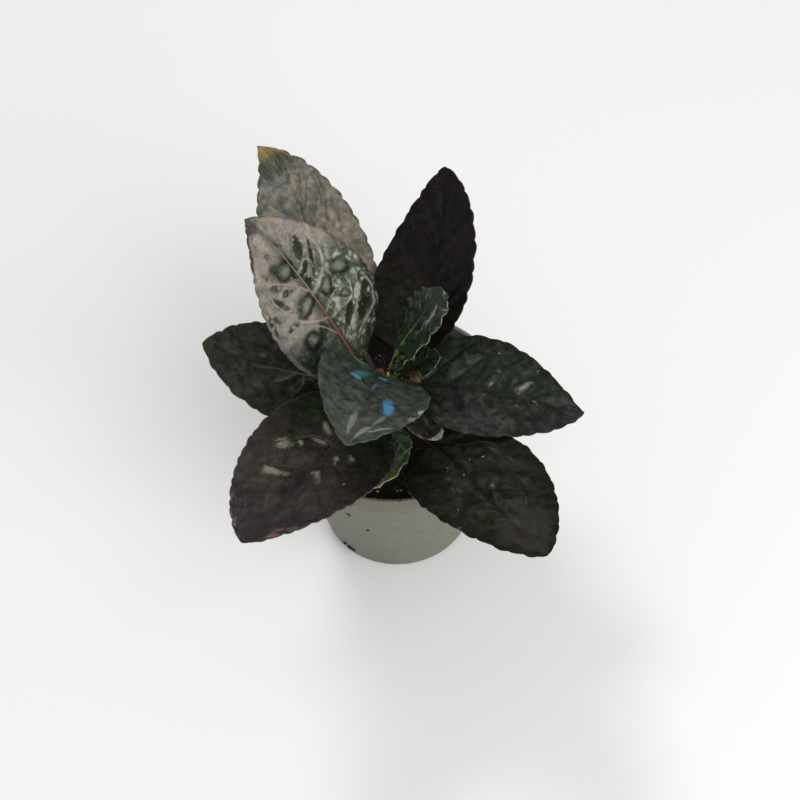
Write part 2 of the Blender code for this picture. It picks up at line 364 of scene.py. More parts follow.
def endFinish(material, colour, rough, gloss, scale, coarse, strength, depth=0.1):
    # Joins a finish to its shader, with the grain's scale, coarseness, strength and depth.
    tree = material.node_tree
    shader = tree.nodes["Principled BSDF"].inputs
    plug(tree, colour, shader["Base Color"])
    plug(tree, rough, shader["Roughness"])
    shader["Specular IOR Level"].default_value = gloss
    node = tree.nodes.new("ShaderNodeBump")
    grain = useGroup(tree, fineGrain, {"Scale": scale, "Coarse": coarse})
    for label, value in {"Strength": strength, "Distance": depth * mm, "Height": grain}.items():
        plug(tree, value, node.inputs[label])
    plug(tree, node.outputs[0], shader["Normal"])
    return material


# The scale, detail and roughness of the noises that break up a leaf's colours
leafNoise = {
    "fleck": (520.0, 5.0, 0.62), "crestGlint": (700.0, 5.0, 0.65), "domeHighlight": (600.0, 5.0, 0.7), "hump": (650.0,),
    "ridge": (420.0,),
}


def topFinish(name, look):
    # The upper face: from the base to the tip, then side tones with painted sheen, patches, pillows with
    # painted light on their tops, veins, painted glints, painted shade and highlights on blisters, marks, rim
    # and rib.
    material, tree = newFinish(name + "_top")
    share, across, hump, hollowShade = (attribute(tree, mask) for mask in ("share", "across", "hump", "hollowShade"))
    colour = blend(tree, ramp(tree, share, *look["reach"]), look["inner"], look["outer"])
    # Side tones: a leaf's own colour on one side, and on some leaves a painted sheen of reflected light
    for side, edge in (("leftToneAndSheen", 0.25), ("rightToneAndSheen", -0.25)):
        if side in look:
            tint, amount, start, end = look[side]
            reach = ramp(tree, share, start, end, 0.0, amount)
            colour = cover(tree, colour, ramp(tree, across, 0.0, edge), reach, tint)
    cloud = cloudy(tree, look["patchScale"], 0.42, 0.62)
    colour = cover(tree, colour, cloud, look["patchMix"], look["patch"])
    # Painted light: the raised pillows between the veins are painted lighter on their tops
    colour = cover(tree, colour, attribute(tree, "pillow"), look["pillowLightMix"], look["pillow"])
    flecks = ramp(tree, noise(tree, *leafNoise["fleck"]), 0.32, 0.68)
    flecks = blend(tree, flecks, (0.3, 0.3, 0.3), (1.75, 1.75, 1.75))
    colour = blend(tree, look["fleckMix"], colour, flecks, "MULTIPLY")
    colour = cover(tree, colour, attribute(tree, "vein"), look["veinMix"], look["vein"])
    # Painted glints: pale highlights painted on the crinkle facets and crests
    if "crestGlint" in look:
        edge = ragged(tree, attribute(tree, "crestGlint"), 1.1, *leafNoise["crestGlint"])
        colour = blend(tree, ramp(tree, edge, 0.1, 0.8, 0.0, look["crestGlintMix"]), colour, look["crestGlint"])
    # Painted shade: dark colour on the sides of the domes, in the hollows and beside high ridges
    if "blisterShade" in look:
        edge = ragged(tree, maths(tree, "MAXIMUM", hump, hollowShade), 0.5, *leafNoise["hump"])
        colour = blend(tree, ramp(tree, edge, 0.15, 0.55, 0.0, look["blisterShadeMix"]), colour, look["blisterShade"])
    # Painted highlight: a pale patch on the top of each dome
    if "domeHighlight" in look:
        edge = ragged(tree, hump, look["topRagged"], *leafNoise["domeHighlight"])
        top = ramp(tree, edge, look["topFrom"], 1.15, 0.0, look["domeHighlightMix"])
        colour = blend(tree, top, colour, look["domeHighlight"])
    if "ridge" in look:
        worn = noise(tree, *leafNoise["ridge"])
        worn = ramp(tree, worn, 0.35, 0.6, look["ridgeMix"] * 0.45, look["ridgeMix"])
        colour = cover(tree, colour, attribute(tree, "ridge"), worn, look["ridge"])
    for *place, tone, amount in look["marks"]:
        mark = useGroup(tree, leafMark, {"Share": share, "Across": across, **dict(zip(markSockets, place))})
        colour = cover(tree, colour, mark, amount, tone)
    broken = ramp(tree, cloudy(tree, 480.0, 0.38, 0.62), 0.0, 1.0, look["rimMix"] * 0.15, look["rimMix"])
    colour = cover(tree, colour, attribute(tree, "rim"), broken, look["rim"])
    ribColour = blend(tree, ramp(tree, share, *look["ribReach"]), look["rib"], look["ribTip"])
    ribColour = blend(tree, ramp(tree, share, -0.3, 0.02), look["petiole"], ribColour)
    colour = blend(tree, attribute(tree, "rib"), colour, ribColour)
    rough = ramp(tree, cloudy(tree, 420.0, 0.35, 0.65), 0.0, 1.0, look["rough"], look["rough"] + 0.1)
    rough = maths(tree, "SUBTRACT", rough, times(tree, hump, look["humpShine"]))
    rough = maths(tree, "ADD", rough, times(tree, hollowShade, 0.4))
    return endFinish(material, colour, rough, look["gloss"], look["grainScale"], 0.8, look["grain"])


def underFinish(name, look):
    material, tree = newFinish(name + "_under")
    dark = [tone * 0.6 for tone in look["under"]]
    colour = blend(tree, cloudy(tree, 260.0, 0.35, 0.65), look["under"], dark)
    colour = cover(tree, colour, attribute(tree, "vein"), 0.7, look["underVein"])
    rough = ramp(tree, cloudy(tree, 700.0, 0.35, 0.65), 0.0, 1.0, 0.42, 0.55)
    return endFinish(material, colour, rough, 0.4, 2200.0, 0.8, 0.25)


# How a leaf grows: the same formulas as the part's own source

stemShape = {
    "foot": 45.0, "height": 19.0, "lean": (-0.13, -0.02, 1.0), "sunk": 6.4,
    "baseRadius": 1.5, "topRadius": 1.1, "gap": 0.3, "nodeSwell": 0.16,
}


def toward(azimuth, rise):
    flat = np.cos(rise)
    return np.stack([flat * np.cos(azimuth), flat * np.sin(azimuth), np.sin(rise) + 0 * azimuth], -1)


def stemPoint(height):
    return np.array([0, 0, stemShape["foot"]]) + np.array(stemShape["lean"]) * height


def stemRadius(height):
    share = height / stemShape["height"]
    return stemShape["baseRadius"] + (stemShape["topRadius"] - stemShape["baseRadius"]) * share


def bladeFrame(leaf, share):
    # Forward, leftward and upward directions of the blade at each share of its length.
    azimuth = np.radians(leaf["azimuth"] + leaf["turn"] * share + leaf["hook"] * share ** 3)
    forward = toward(azimuth, np.radians(leaf["rise"] - leaf["droop"] * share))
    level = np.stack([-np.sin(azimuth), np.cos(azimuth), 0 * azimuth], -1)
    up = np.cross(forward, level)
    roll = np.radians(leaf["roll"] + leaf["twist"] * share)[..., None]
    return forward, level * np.cos(roll) + up * np.sin(roll), up * np.cos(roll) - level * np.sin(roll)


def petiolePath(leaf, steps=12):
    azimuth, rise = math.radians(leaf["azimuth"]), leaf["petioleRise"]
    out = stemRadius(leaf["height"]) + stemShape["gap"]
    out += leaf["petioleRadius"] * abs(math.sin(math.radians(rise)))
    start = stemPoint(leaf["height"]) + toward(azimuth, 0.0) * out
    rises = np.radians(rise + (leaf["rise"] - rise) * (np.arange(steps) + 0.5) / steps)
    moves = toward(np.full(steps, azimuth), rises) * leaf["petiole"] / steps
    return np.vstack([start, start + np.cumsum(moves, 0)])


def midribTable(leaf, steps=400):
    # The midrib's places at even shares, from the petiole's end.
    moves = bladeFrame(leaf, (np.arange(steps) + 0.5) / steps)[0] * leaf["length"] / steps
    start = petiolePath(leaf)[-1]
    return np.linspace(0, 1, steps + 1), np.vstack([start, start + np.cumsum(moves, 0)])


def alongTable(table, share):
    shares, places = table
    return np.stack([np.interp(share, shares, places[:, i]) for i in range(3)], -1)


def halfWidth(leaf, share, side):
    portion, base, tip = leaf[side]
    share = np.clip(share, 0.0, 1.0)
    peak = base / (base + tip)
    full = share ** base * (1 - share) ** tip / (peak ** base * (1 - peak) ** tip)
    return np.maximum(leaf["width"] / 2 * portion * full, leaf["tipHalf"])


def widthThere(leaf, share, across):
    return np.where(across >= 0, halfWidth(leaf, share, "left"), halfWidth(leaf, share, "right"))


def marginTable(leaf, side, steps=600):
    # The flat outline of one side: its length from the base and its outward direction.
    shares = 0.5 - 0.5 * np.cos(np.pi * np.linspace(0, 1, steps + 1))
    out = np.gradient(halfWidth(leaf, shares, side))
    ahead = np.gradient(shares * leaf["length"])
    step = np.hypot(out, ahead)
    return shares, np.cumsum(step), ahead / step, -out / step


def sidePhase(leaf, share, across):
    # Whole numbers on the side veins, which leave the midrib and sweep towards the tip.
    swept = share - leaf["sweep"] * np.abs(across) ** 1.25 * (1.15 - 0.5 * share)
    phases = []
    for veins in (leaf["veinsLeft"], leaf["veinsRight"]):
        starts = [veins[0] - 0.4, veins[0] - 0.2, *veins, 1.15, 1.35]
        phases.append(np.interp(swept, starts, np.arange(len(starts))))
    return np.where(across >= 0, phases[0], phases[1] + 40)


def waffles(phase, out, side, leaf):
    # Pillows between the side veins, parted by weaker cross veins, each of its own height.
    column = np.floor(phase)
    inColumn = phase - column
    start, pace = hashed(column, side, leaf["seed"])[:2]
    steps = out / (leaf["rung"] * (0.8 + 0.5 * pace)) + start + 0.22 * np.sin(2 * np.pi * (inColumn + start))
    row = np.floor(steps)
    inRow = steps - row
    before, here, after = (
        0.22 + 1.0 * hashed(column, row + step, leaf["seed"] + 9)[0] ** 1.2 for step in (-1, 0, 1))
    blendBack = np.clip(0.5 - inRow, 0, 0.5)
    blendOn = np.clip(inRow - 0.5, 0, 0.5)
    high = here * (1 - blendBack - blendOn) + before * blendBack + after * blendOn
    valley = np.abs(np.sin(np.pi * inColumn)) ** 0.55
    rung = 1 - leaf["rungDepth"] * (1 - np.abs(np.sin(np.pi * inRow)) ** 0.7)
    return high * valley * rung, np.minimum(inRow, 1 - inRow) * leaf["rung"]


def smoothLine(spots, steps=8):
    # A smooth curve through a few spots.
    spots = np.array(spots, dtype=float)
    ends = np.vstack([2 * spots[0] - spots[1], spots, 2 * spots[-1] - spots[-2]])
    t = (np.arange(steps) / steps)[:, None]
    parts = [
        0.5 * (2 * b + (c - a) * t + (2 * a - 5 * b + 4 * c - d) * t ** 2 + (3 * b - a - 3 * c + d) * t ** 3)
        for a, b, c, d in zip(ends, ends[1:], ends[2:], ends[3:])]
    return np.vstack([*parts, spots[-1:]])


def ridgeBell(leaf, ahead, sideways, ridge):
    # How near each point is to a ridge's crest, fading out at its far end.
    thick = ridge[0]
    line = smoothLine(ridge[2:])
    x = line[:, 0] * leaf["length"]
    y = line[:, 1] * widthThere(leaf, line[:, 0], line[:, 1])
    gap = np.full(np.shape(ahead), 1e3)
    for i in range(len(x) - 1):
        stepX, stepY = x[i + 1] - x[i], y[i + 1] - y[i]
        part = (ahead - x[i]) * stepX + (sideways - y[i]) * stepY
        part = np.clip(part / (stepX ** 2 + stepY ** 2 + 1e-9), 0, 1)
        wide = thick * (1 - 0.5 * (i + part) / (len(x) - 1))
        gap = np.minimum(gap, np.hypot(ahead - x[i] - part * stepX, sideways - y[i] - part * stepY) / wide)
    return np.exp(-gap ** 2)


def humpBell(leaf, ahead, across, width, hump):
    # A hump's height from nought to one, and the softer spread of its colour.
    atShare, atAcross, long, wide = hump[:4]
    lean = hump[5] if len(hump) > 5 else 0.0
    forward = ahead - atShare * leaf["length"]
    aside = (across - atAcross) * width - lean * forward
    far = ((forward / long + 0.22 * np.sin(aside * 2.1 / wide + atShare * 40)) ** 2
           + (aside / wide + 0.22 * np.sin(forward * 1.9 / long + atAcross * 30)) ** 2)
    return np.exp(-far ** 1.4), np.exp(-1.1 * far)


def scallop(leaf, share, side, out, ahead, reach):
    # Pushes the outline in and out, and tells how far round the margin each point lies.
    marginLength, normalOut, normalAhead = np.zeros((3, *np.shape(share)))
    for sign, name, offset in ((1, "left", 0), (-1, "right", leaf["lobeOffset"])):
        shares, lengths, sideways, forwards = marginTable(leaf, name)
        chosen = side == sign
        marginLength[chosen] = np.interp(share[chosen], shares, lengths) + offset
        normalOut[chosen] = np.interp(share[chosen], shares, sideways)
        normalAhead[chosen] = np.interp(share[chosen], shares, forwards)
    turn = marginLength / leaf["lobe"] + leaf["lobeDrift"] * np.sin(marginLength * 0.9 + leaf["seed"])
    wave = np.abs(np.sin(np.pi * turn)) ** 0.75 - 0.62
    ends = np.clip(np.minimum(share, 1 - share) / 0.04, 0, 1)
    uneven = 0.75 + 0.5 * hashed(np.floor(turn), side, leaf["seed"])[0]
    push = leaf["lobeDepth"] * wave * uneven * ends * reach ** 6
    ruffle = leaf["ruffle"] * np.sin(2 * np.pi * marginLength / leaf["ruffleLength"] + leaf["seed"])
    lift = ruffle * reach ** 5 * ends - 0.5 * leaf["lobeDepth"] * (wave + 0.3) * reach ** 8
    return out + push * normalOut, ahead + push * normalAhead, lift


def raiseBlisters(leaf, ahead, across, width, sideways, small):
    # The humps, hollows and ridges placed one by one: their height and the masks of each kind; the hollow mask
    # tells where shade is painted.
    height, domes, hollows, ridges = np.zeros((4, *np.shape(ahead)))
    for hump in leaf["humps"]:
        bell, spread = humpBell(leaf, ahead, across, width, hump)
        high = hump[4]
        height = height + high * bell
        if high > 0:
            domes = np.maximum(domes, min(1.0, 2.5 * high) * spread)
        else:
            height = height - 1.2 * high * bell * (1 - bell) * 2
            hollows = np.maximum(hollows, min(1.0, -5 * high) * bell * (1.15 - 0.75 * small))
    for ridge in leaf["ridges"]:
        bell = ridgeBell(leaf, ahead, sideways, ridge)
        high = ridge[1]
        height = np.where(bell > 0.3, height * (1 - 0.6 * bell), height) + high * bell
        # A halo of painted shade on both sides of each high ridge, added to the hollow mask
        halo = np.exp(-((np.sqrt(-np.log(np.maximum(bell, 1e-9))) - 1.8) / 0.6) ** 2)
        shade = min(0.6, 1.5 * max(high - 0.15, 0)) * halo * (1 - 0.6 * small)
        domes = domes * (1 - bell)
        hollows = np.maximum(hollows * (1 - bell), shade)
        ridges = np.maximum(ridges, min(1.0, 3 * high) * bell)
    return height, domes, hollows, ridges


maskNames = ("vein", "pillow", "hump", "hollowShade", "ridge", "rim", "crestGlint")


def shapeBlade(leaf, share, across):
    # Heights and masks at every point of the blade, before it is bent into place.
    side = np.where(across >= 0, 1.0, -1.0)
    left = side > 0
    reach = np.abs(across)
    width = widthThere(leaf, share, across)
    out, ahead, lift = scallop(leaf, share, side, reach * width, share * leaf["length"], reach)
    sideways = out * side

    # Pillows between the veins, small wrinkles and a slow swell
    phase = sidePhase(leaf, share, across)
    fromRib = 1 - np.exp(-out ** 2)
    toMargin = 1 - np.clip(reach, 0, 1) ** leaf["flatMargin"]
    taper = np.clip(np.sin(np.pi * np.clip(share, 0, 1)), 0, 1) ** 0.4
    inside = fromRib * toMargin * taper
    waffle, rungGap = waffles(phase, out, side, leaf)
    pillow = waffle * inside
    near, second, number = cells(ahead / leaf["wrinkle"], sideways / leaf["wrinkle"], leaf["seed"] + 5, 0.95)
    small = np.clip((second - near) / 0.6, 0, 1) ** 0.7 * (0.35 + 0.65 * number)
    blisters, domes, hollows, ridges = raiseBlisters(leaf, ahead, across, width, sideways, small)
    rise = np.where(left, 1.0, leaf["rightCalm"]) * leaf["pucker"] * pillow
    rise = rise + leaf["wrinkleDepth"] * np.where(left, 1.0, leaf["rightCrinkle"]) * small * inside ** 0.4
    swell = np.sin(ahead / 1.5 + leaf["seed"]) * np.cos(sideways / 1.35 + 1.7 * leaf["seed"])
    swell = swell + 0.6 * np.sin((ahead + sideways) / 0.95 + leaf["seed"])
    atRib = 1 - np.exp(-(out / 0.55) ** 2)
    rise = rise + leaf["swell"] * swell * toMargin * taper * atRib
    rise = rise * (1 - 0.85 * domes ** 0.5) + blisters * atRib

    # The fold along the midrib, the arch across it and the margin's own ups and downs
    fold = (np.hypot(out, leaf["foldRound"]) - leaf["foldRound"]) * math.tan(math.radians(leaf["fold"]))
    height = rise + fold + leaf["arch"] * (0.4 - reach ** 2) * taper + lift

    # Masks for the colours
    strip = leaf["length"] / (len(leaf["veinsLeft"]) + 0.5)
    veinGap = np.abs(phase - np.round(phase)) * strip
    vein = np.exp(-(veinGap / leaf["veinWide"]) ** 2) * np.clip(1.15 - reach, 0, 1) * fromRib
    net = np.exp(-((second - near) * leaf["wrinkle"] / leaf["netWide"]) ** 2) * inside
    cross = np.exp(-(rungGap / leaf["rungWide"]) ** 2) * inside
    vein = np.maximum(np.maximum(vein, 0.35 * net), 0.5 * cross)
    # Where painted glints go: the facets and crests of the crinkles, mostly on the right half
    bend = 0.3 * np.sin(ahead * 0.9) + 0.2 * np.sin(sideways * 1.3)
    facetLong, facetWide = leaf["facet"]
    nearFacet, nextFacet, facetNumber = cells(
        ahead / facetLong + bend, sideways / facetWide - bend, leaf["seed"] + 8, 0.95)
    facet = np.clip((nextFacet - nearFacet) / 0.95, 0, 1) * np.clip(1.9 * facetNumber - 0.2, 0, 1)
    crestGlint = (0.9 * facet + 0.5 * net * (0.3 + 0.7 * number) + 0.35 * small ** 2) * fromRib
    crestGlint = crestGlint * np.where(left, 0.35, 1.0) * np.clip((0.78 - share) / 0.2, 0.3, 1)
    fromEdge = np.minimum((1 - reach) * width, (1 - share) * leaf["length"])
    rim = np.exp(-(fromEdge / leaf["rimWidth"]) ** 2)
    masks = (vein, np.clip(pillow, 0, 1), domes, hollows, ridges, rim, crestGlint)
    return sideways, ahead, height, dict(zip(maskNames, masks))


def makeBlade(leaf, table, finishes):
    cols, rows = leaf["squares"]
    blade, x, y = flatSheet(leaf["node"] + "_blade", cols, rows)
    across = 1 - 2 * x        # the left side is positive, so the upper face looks up
    share = y - 0.06 * np.sin(2 * np.pi * y)
    sideways, ahead, height, masks = shapeBlade(leaf, share, across)
    at = np.clip(ahead / leaf["length"], 0, 1)
    forward, left, up = bladeFrame(leaf, share)
    beyond = ahead - at * leaf["length"]
    places = alongTable(table, at)
    for way, amount in ((forward, beyond), (left, sideways), (up, height)):
        places = places + way * amount[:, None]
    writePoints(blade, places * mm)
    for name, values in {"share": share, "across": across, "rib": 0.0, **masks}.items():
        paint(blade, name, values)
    for finish in finishes:
        blade.data.materials.append(finish)
    applyModifier(
        blade, "SOLIDIFY", thickness=leaf["lamina"] * mm, offset=-1, material_offset=1, material_offset_rim=0)
    return blade


def rollTube(name, centres, radii, sideways, sides=12):
    # A sheet rolled round a path, closed to a point at both ends.
    tube, x, y = flatSheet(name, sides, len(centres) - 1)
    row = np.rint(y * (len(centres) - 1)).astype(int)
    ahead = np.gradient(centres, axis=0)
    ahead /= np.linalg.norm(ahead, axis=1)[:, None]
    over = np.cross(ahead, sideways)
    over /= np.linalg.norm(over, axis=1)[:, None]
    aside = np.cross(over, ahead)
    angle = 2 * np.pi * x
    ring = aside[row] * np.cos(angle)[:, None] + over[row] * np.sin(angle)[:, None]
    writePoints(tube, (centres[row] + ring * radii[row][:, None]) * mm)
    return tube, row


def makeRib(leaf, table, finish):
    # The petiole and the midrib that it becomes, mostly below the blade.
    petiole = petiolePath(leaf)
    count = len(petiole)
    azimuth = np.radians(leaf["azimuth"])
    root = petiole[0] - toward(azimuth, np.radians(leaf["petioleRise"])) * leaf["rootDepth"]
    shares = np.linspace(*leaf["ribSpan"], 64)
    left, up = bladeFrame(leaf, shares)[1:]
    thick = leaf["ribThick"] * (1 - shares) ** 0.8 + 0.08
    sink = leaf["lamina"] / 2 + thick * leaf["ribSink"]
    rib = alongTable(table, shares) - up * (sink * np.clip(shares / 0.06, 0, 1))[:, None]
    centres = np.vstack([root, petiole, rib])
    steps = np.arange(count)
    taper = 1.0 - leaf["petioleTaper"] * steps / (count - 1)
    swell = leaf["petioleRadius"] * taper * (1 + leaf["collar"] * np.exp(-steps / 1.3))
    radii = np.concatenate([[0.0, leaf["petioleRadius"] * 1.3], swell, thick, [0.0]])
    level = np.array([-np.sin(azimuth), np.cos(azimuth), 0.0])
    turnTo = np.linspace(0, 1, count)[:, None]
    sideways = np.vstack([level, level, level * (1 - turnTo) + left[0] * turnTo, left, left[-1:]])
    first = centres[:1] - (centres[1] - centres[0]) * 0.01
    last = centres[-1:] + (centres[-1] - centres[-2]) * 0.2
    tube, row = rollTube(leaf["node"] + "_rib", np.vstack([first, centres, last]), radii, sideways)
    shareOfRow = np.concatenate([[-1.0], np.linspace(-1, 0, count + 1), shares, shares[-1:]])
    values = {"share": shareOfRow[row], "across": 0.0, "rib": 1.0, **dict.fromkeys(maskNames, 0.0)}
    for name, value in values.items():
        paint(tube, name, value)
    tube.data.materials.append(finish)
    closeSeams(tube)
    return tube


def makeLeaf(leaf):
    table = midribTable(leaf)
    finishes = [topFinish(leaf["node"], leaf["look"]), underFinish(leaf["node"], leaf["look"])]
    blade = makeBlade(leaf, table, finishes)
    piece = joinPieces([blade, makeRib(leaf, table, finishes[0])], leaf["node"] + "_skin")
    smooth(piece)
    return piece


# What leaves have in common, before each one's own values

commonLook = {
    "inner": (0.004, 0.008, 0.004), "outer": (0.007, 0.006, 0.006), "reach": (0.1, 0.6),
    "patch": (0.013, 0.010, 0.008), "patchMix": 0.6, "patchScale": 150.0, "fleckMix": 0.8,
    "pillow": (0.018, 0.024, 0.014), "pillowLightMix": 0.6, "vein": (0.035, 0.035, 0.03), "veinMix": 0.3,
    "ridgeMix": 0.9, "blisterShadeMix": 0.92, "humpShine": 0.0, "topRagged": 1.3, "topFrom": 0.45,
    "rim": (0.03, 0.018, 0.010), "rimMix": 0.7, "marks": (), "petiole": (0.05, 0.015, 0.018),
    "rib": (0.055, 0.018, 0.02), "ribTip": (0.02, 0.02, 0.017), "ribReach": (0.1, 0.8),
    "under": (0.045, 0.012, 0.022), "underVein": (0.09, 0.035, 0.05),
    "rough": 0.26, "gloss": 0.32, "grain": 0.45, "grainScale": 1500.0,
}
commonLeaf = {
    "turn": 0, "hook": 0, "roll": 0, "twist": 0, "fold": 0, "foldRound": 0.8, "arch": 0.0,
    "left": (1.0, 0.55, 0.8), "right": (1.0, 0.55, 0.8), "tipHalf": 0.12, "lamina": 0.32,
    "squares": (104, 160), "petioleRadius": 0.9, "petioleTaper": 0.25, "collar": 0.35, "rootDepth": 1.1,
    "ribSink": 0.5, "ribThick": 0.6, "ribSpan": (0.012, 0.955),
    "veinsLeft": (0.06, 0.22, 0.38, 0.54, 0.70, 0.86), "veinsRight": (0.02, 0.18, 0.34, 0.50, 0.66, 0.83),
    "sweep": 0.3, "veinWide": 0.32, "netWide": 0.22, "rungWide": 0.25, "facet": (2.5, 1.7),
    "rung": 4.2, "rungDepth": 0.55, "pucker": 1.0, "wrinkle": 1.5, "wrinkleDepth": 0.09, "swell": 0.16,
    "flatMargin": 3.0, "humps": (), "ridges": (), "rightCalm": 1.0, "rightCrinkle": 1.0, "seed": 1.0,
    "lobe": 3.4, "lobeDepth": 0.45, "lobeOffset": 1.3, "lobeDrift": 0.12,
    "ruffle": 0.25, "ruffleLength": 7.0, "rimWidth": 0.35,
}


def leafOf(look, **values):
    return {**commonLeaf, **values, "look": {**commonLook, **look}}


# Marks are spots of colour: share, across, half length, half width, a lean if any, tone and amount.
# Humps are single larger blisters or hollows: share, across, half length, half width, height and lean.
# Ridges are raised veins: half width, height and the spots (share, across) that they pass.
backLeft = leafOf(
    dict(inner=(0.115, 0.105, 0.07), outer=(0.1, 0.105, 0.085), reach=(0.3, 0.8), patch=(0.245, 0.2, 0.145),
        patchMix=0.75, pillow=(0.17, 0.15, 0.11), pillowLightMix=0.4, vein=(0.035, 0.05, 0.055), veinMix=0.75,
        ridge=(0.045, 0.058, 0.065), ridgeMix=0.65, fleckMix=0.55,
        leftToneAndSheen=((0.1, 0.118, 0.11), 0.75, 0.2, 0.4), rim=(0.014, 0.013, 0.008), rimMix=1.0, rough=0.42,
        gloss=0.4, rib=(0.05, 0.05, 0.04), ribTip=(0.05, 0.055, 0.045), petiole=(0.022, 0.018, 0.013),
        under=(0.09, 0.05, 0.06),
        marks=((0.86, 0.1, 0.07, 1.6, (0.045, 0.052, 0.03), 0.9),
            (0.86, -0.45, 0.05, 0.45, (0.04, 0.045, 0.03), 0.7),
            (0.93, 0.1, 0.046, 1.5, (0.1, 0.095, 0.02), 0.6),
            (0.945, 0.2, 0.036, 1.2, (0.2, 0.165, 0.025), 0.8),
            (0.98, 0.0, 0.026, 1.6, (0.36, 0.18, 0.05), 0.85),
            (0.91, -0.93, 0.08, 0.17, (0.28, 0.12, 0.03), 0.85),
            (0.72, -0.97, 0.02, 0.06, (0.3, 0.15, 0.09), 0.6),
            (0.66, 0.35, 0.035, 0.22, (0.035, 0.06, 0.03), 0.6))),
    node="leaf_back_left", height=4, azimuth=119, petiole=18, petioleRise=40, length=62, width=28, rise=26,
    droop=27, turn=-34, hook=45, roll=-7, twist=-7, fold=3, left=(1.05, 0.47, 0.95),
    right=(0.97, 0.46, 0.87), pucker=1.4, wrinkleDepth=0.3, wrinkle=2.0, rung=6.0, lobe=4.8, lobeDepth=0.65,
    seed=11.0, arch=0.5, ribSink=0.6, rimWidth=0.45,
    humps=((0.74, 0.68, 2.6, 2.2, 0.8), (0.69, 0.84, 1.8, 1.4, 0.6), (0.62, 0.2, 2.2, 2.0, 0.7),
        (0.68, 0.45, 2.0, 1.8, 0.5), (0.57, 0.5, 2.4, 2.0, 0.6)),
    ridges=((0.9, -0.5, (0.76, -0.86), (0.665, -0.74), (0.565, -0.54), (0.46, -0.38)),
        (0.6, -0.4, (0.79, -0.46), (0.695, -0.26), (0.59, 0.0)),
        (0.5, -0.35, (0.755, -0.72), (0.69, -0.4), (0.6, -0.16)),
        (0.5, -0.3, (0.6, -0.85), (0.5, -0.66), (0.4, -0.6))))
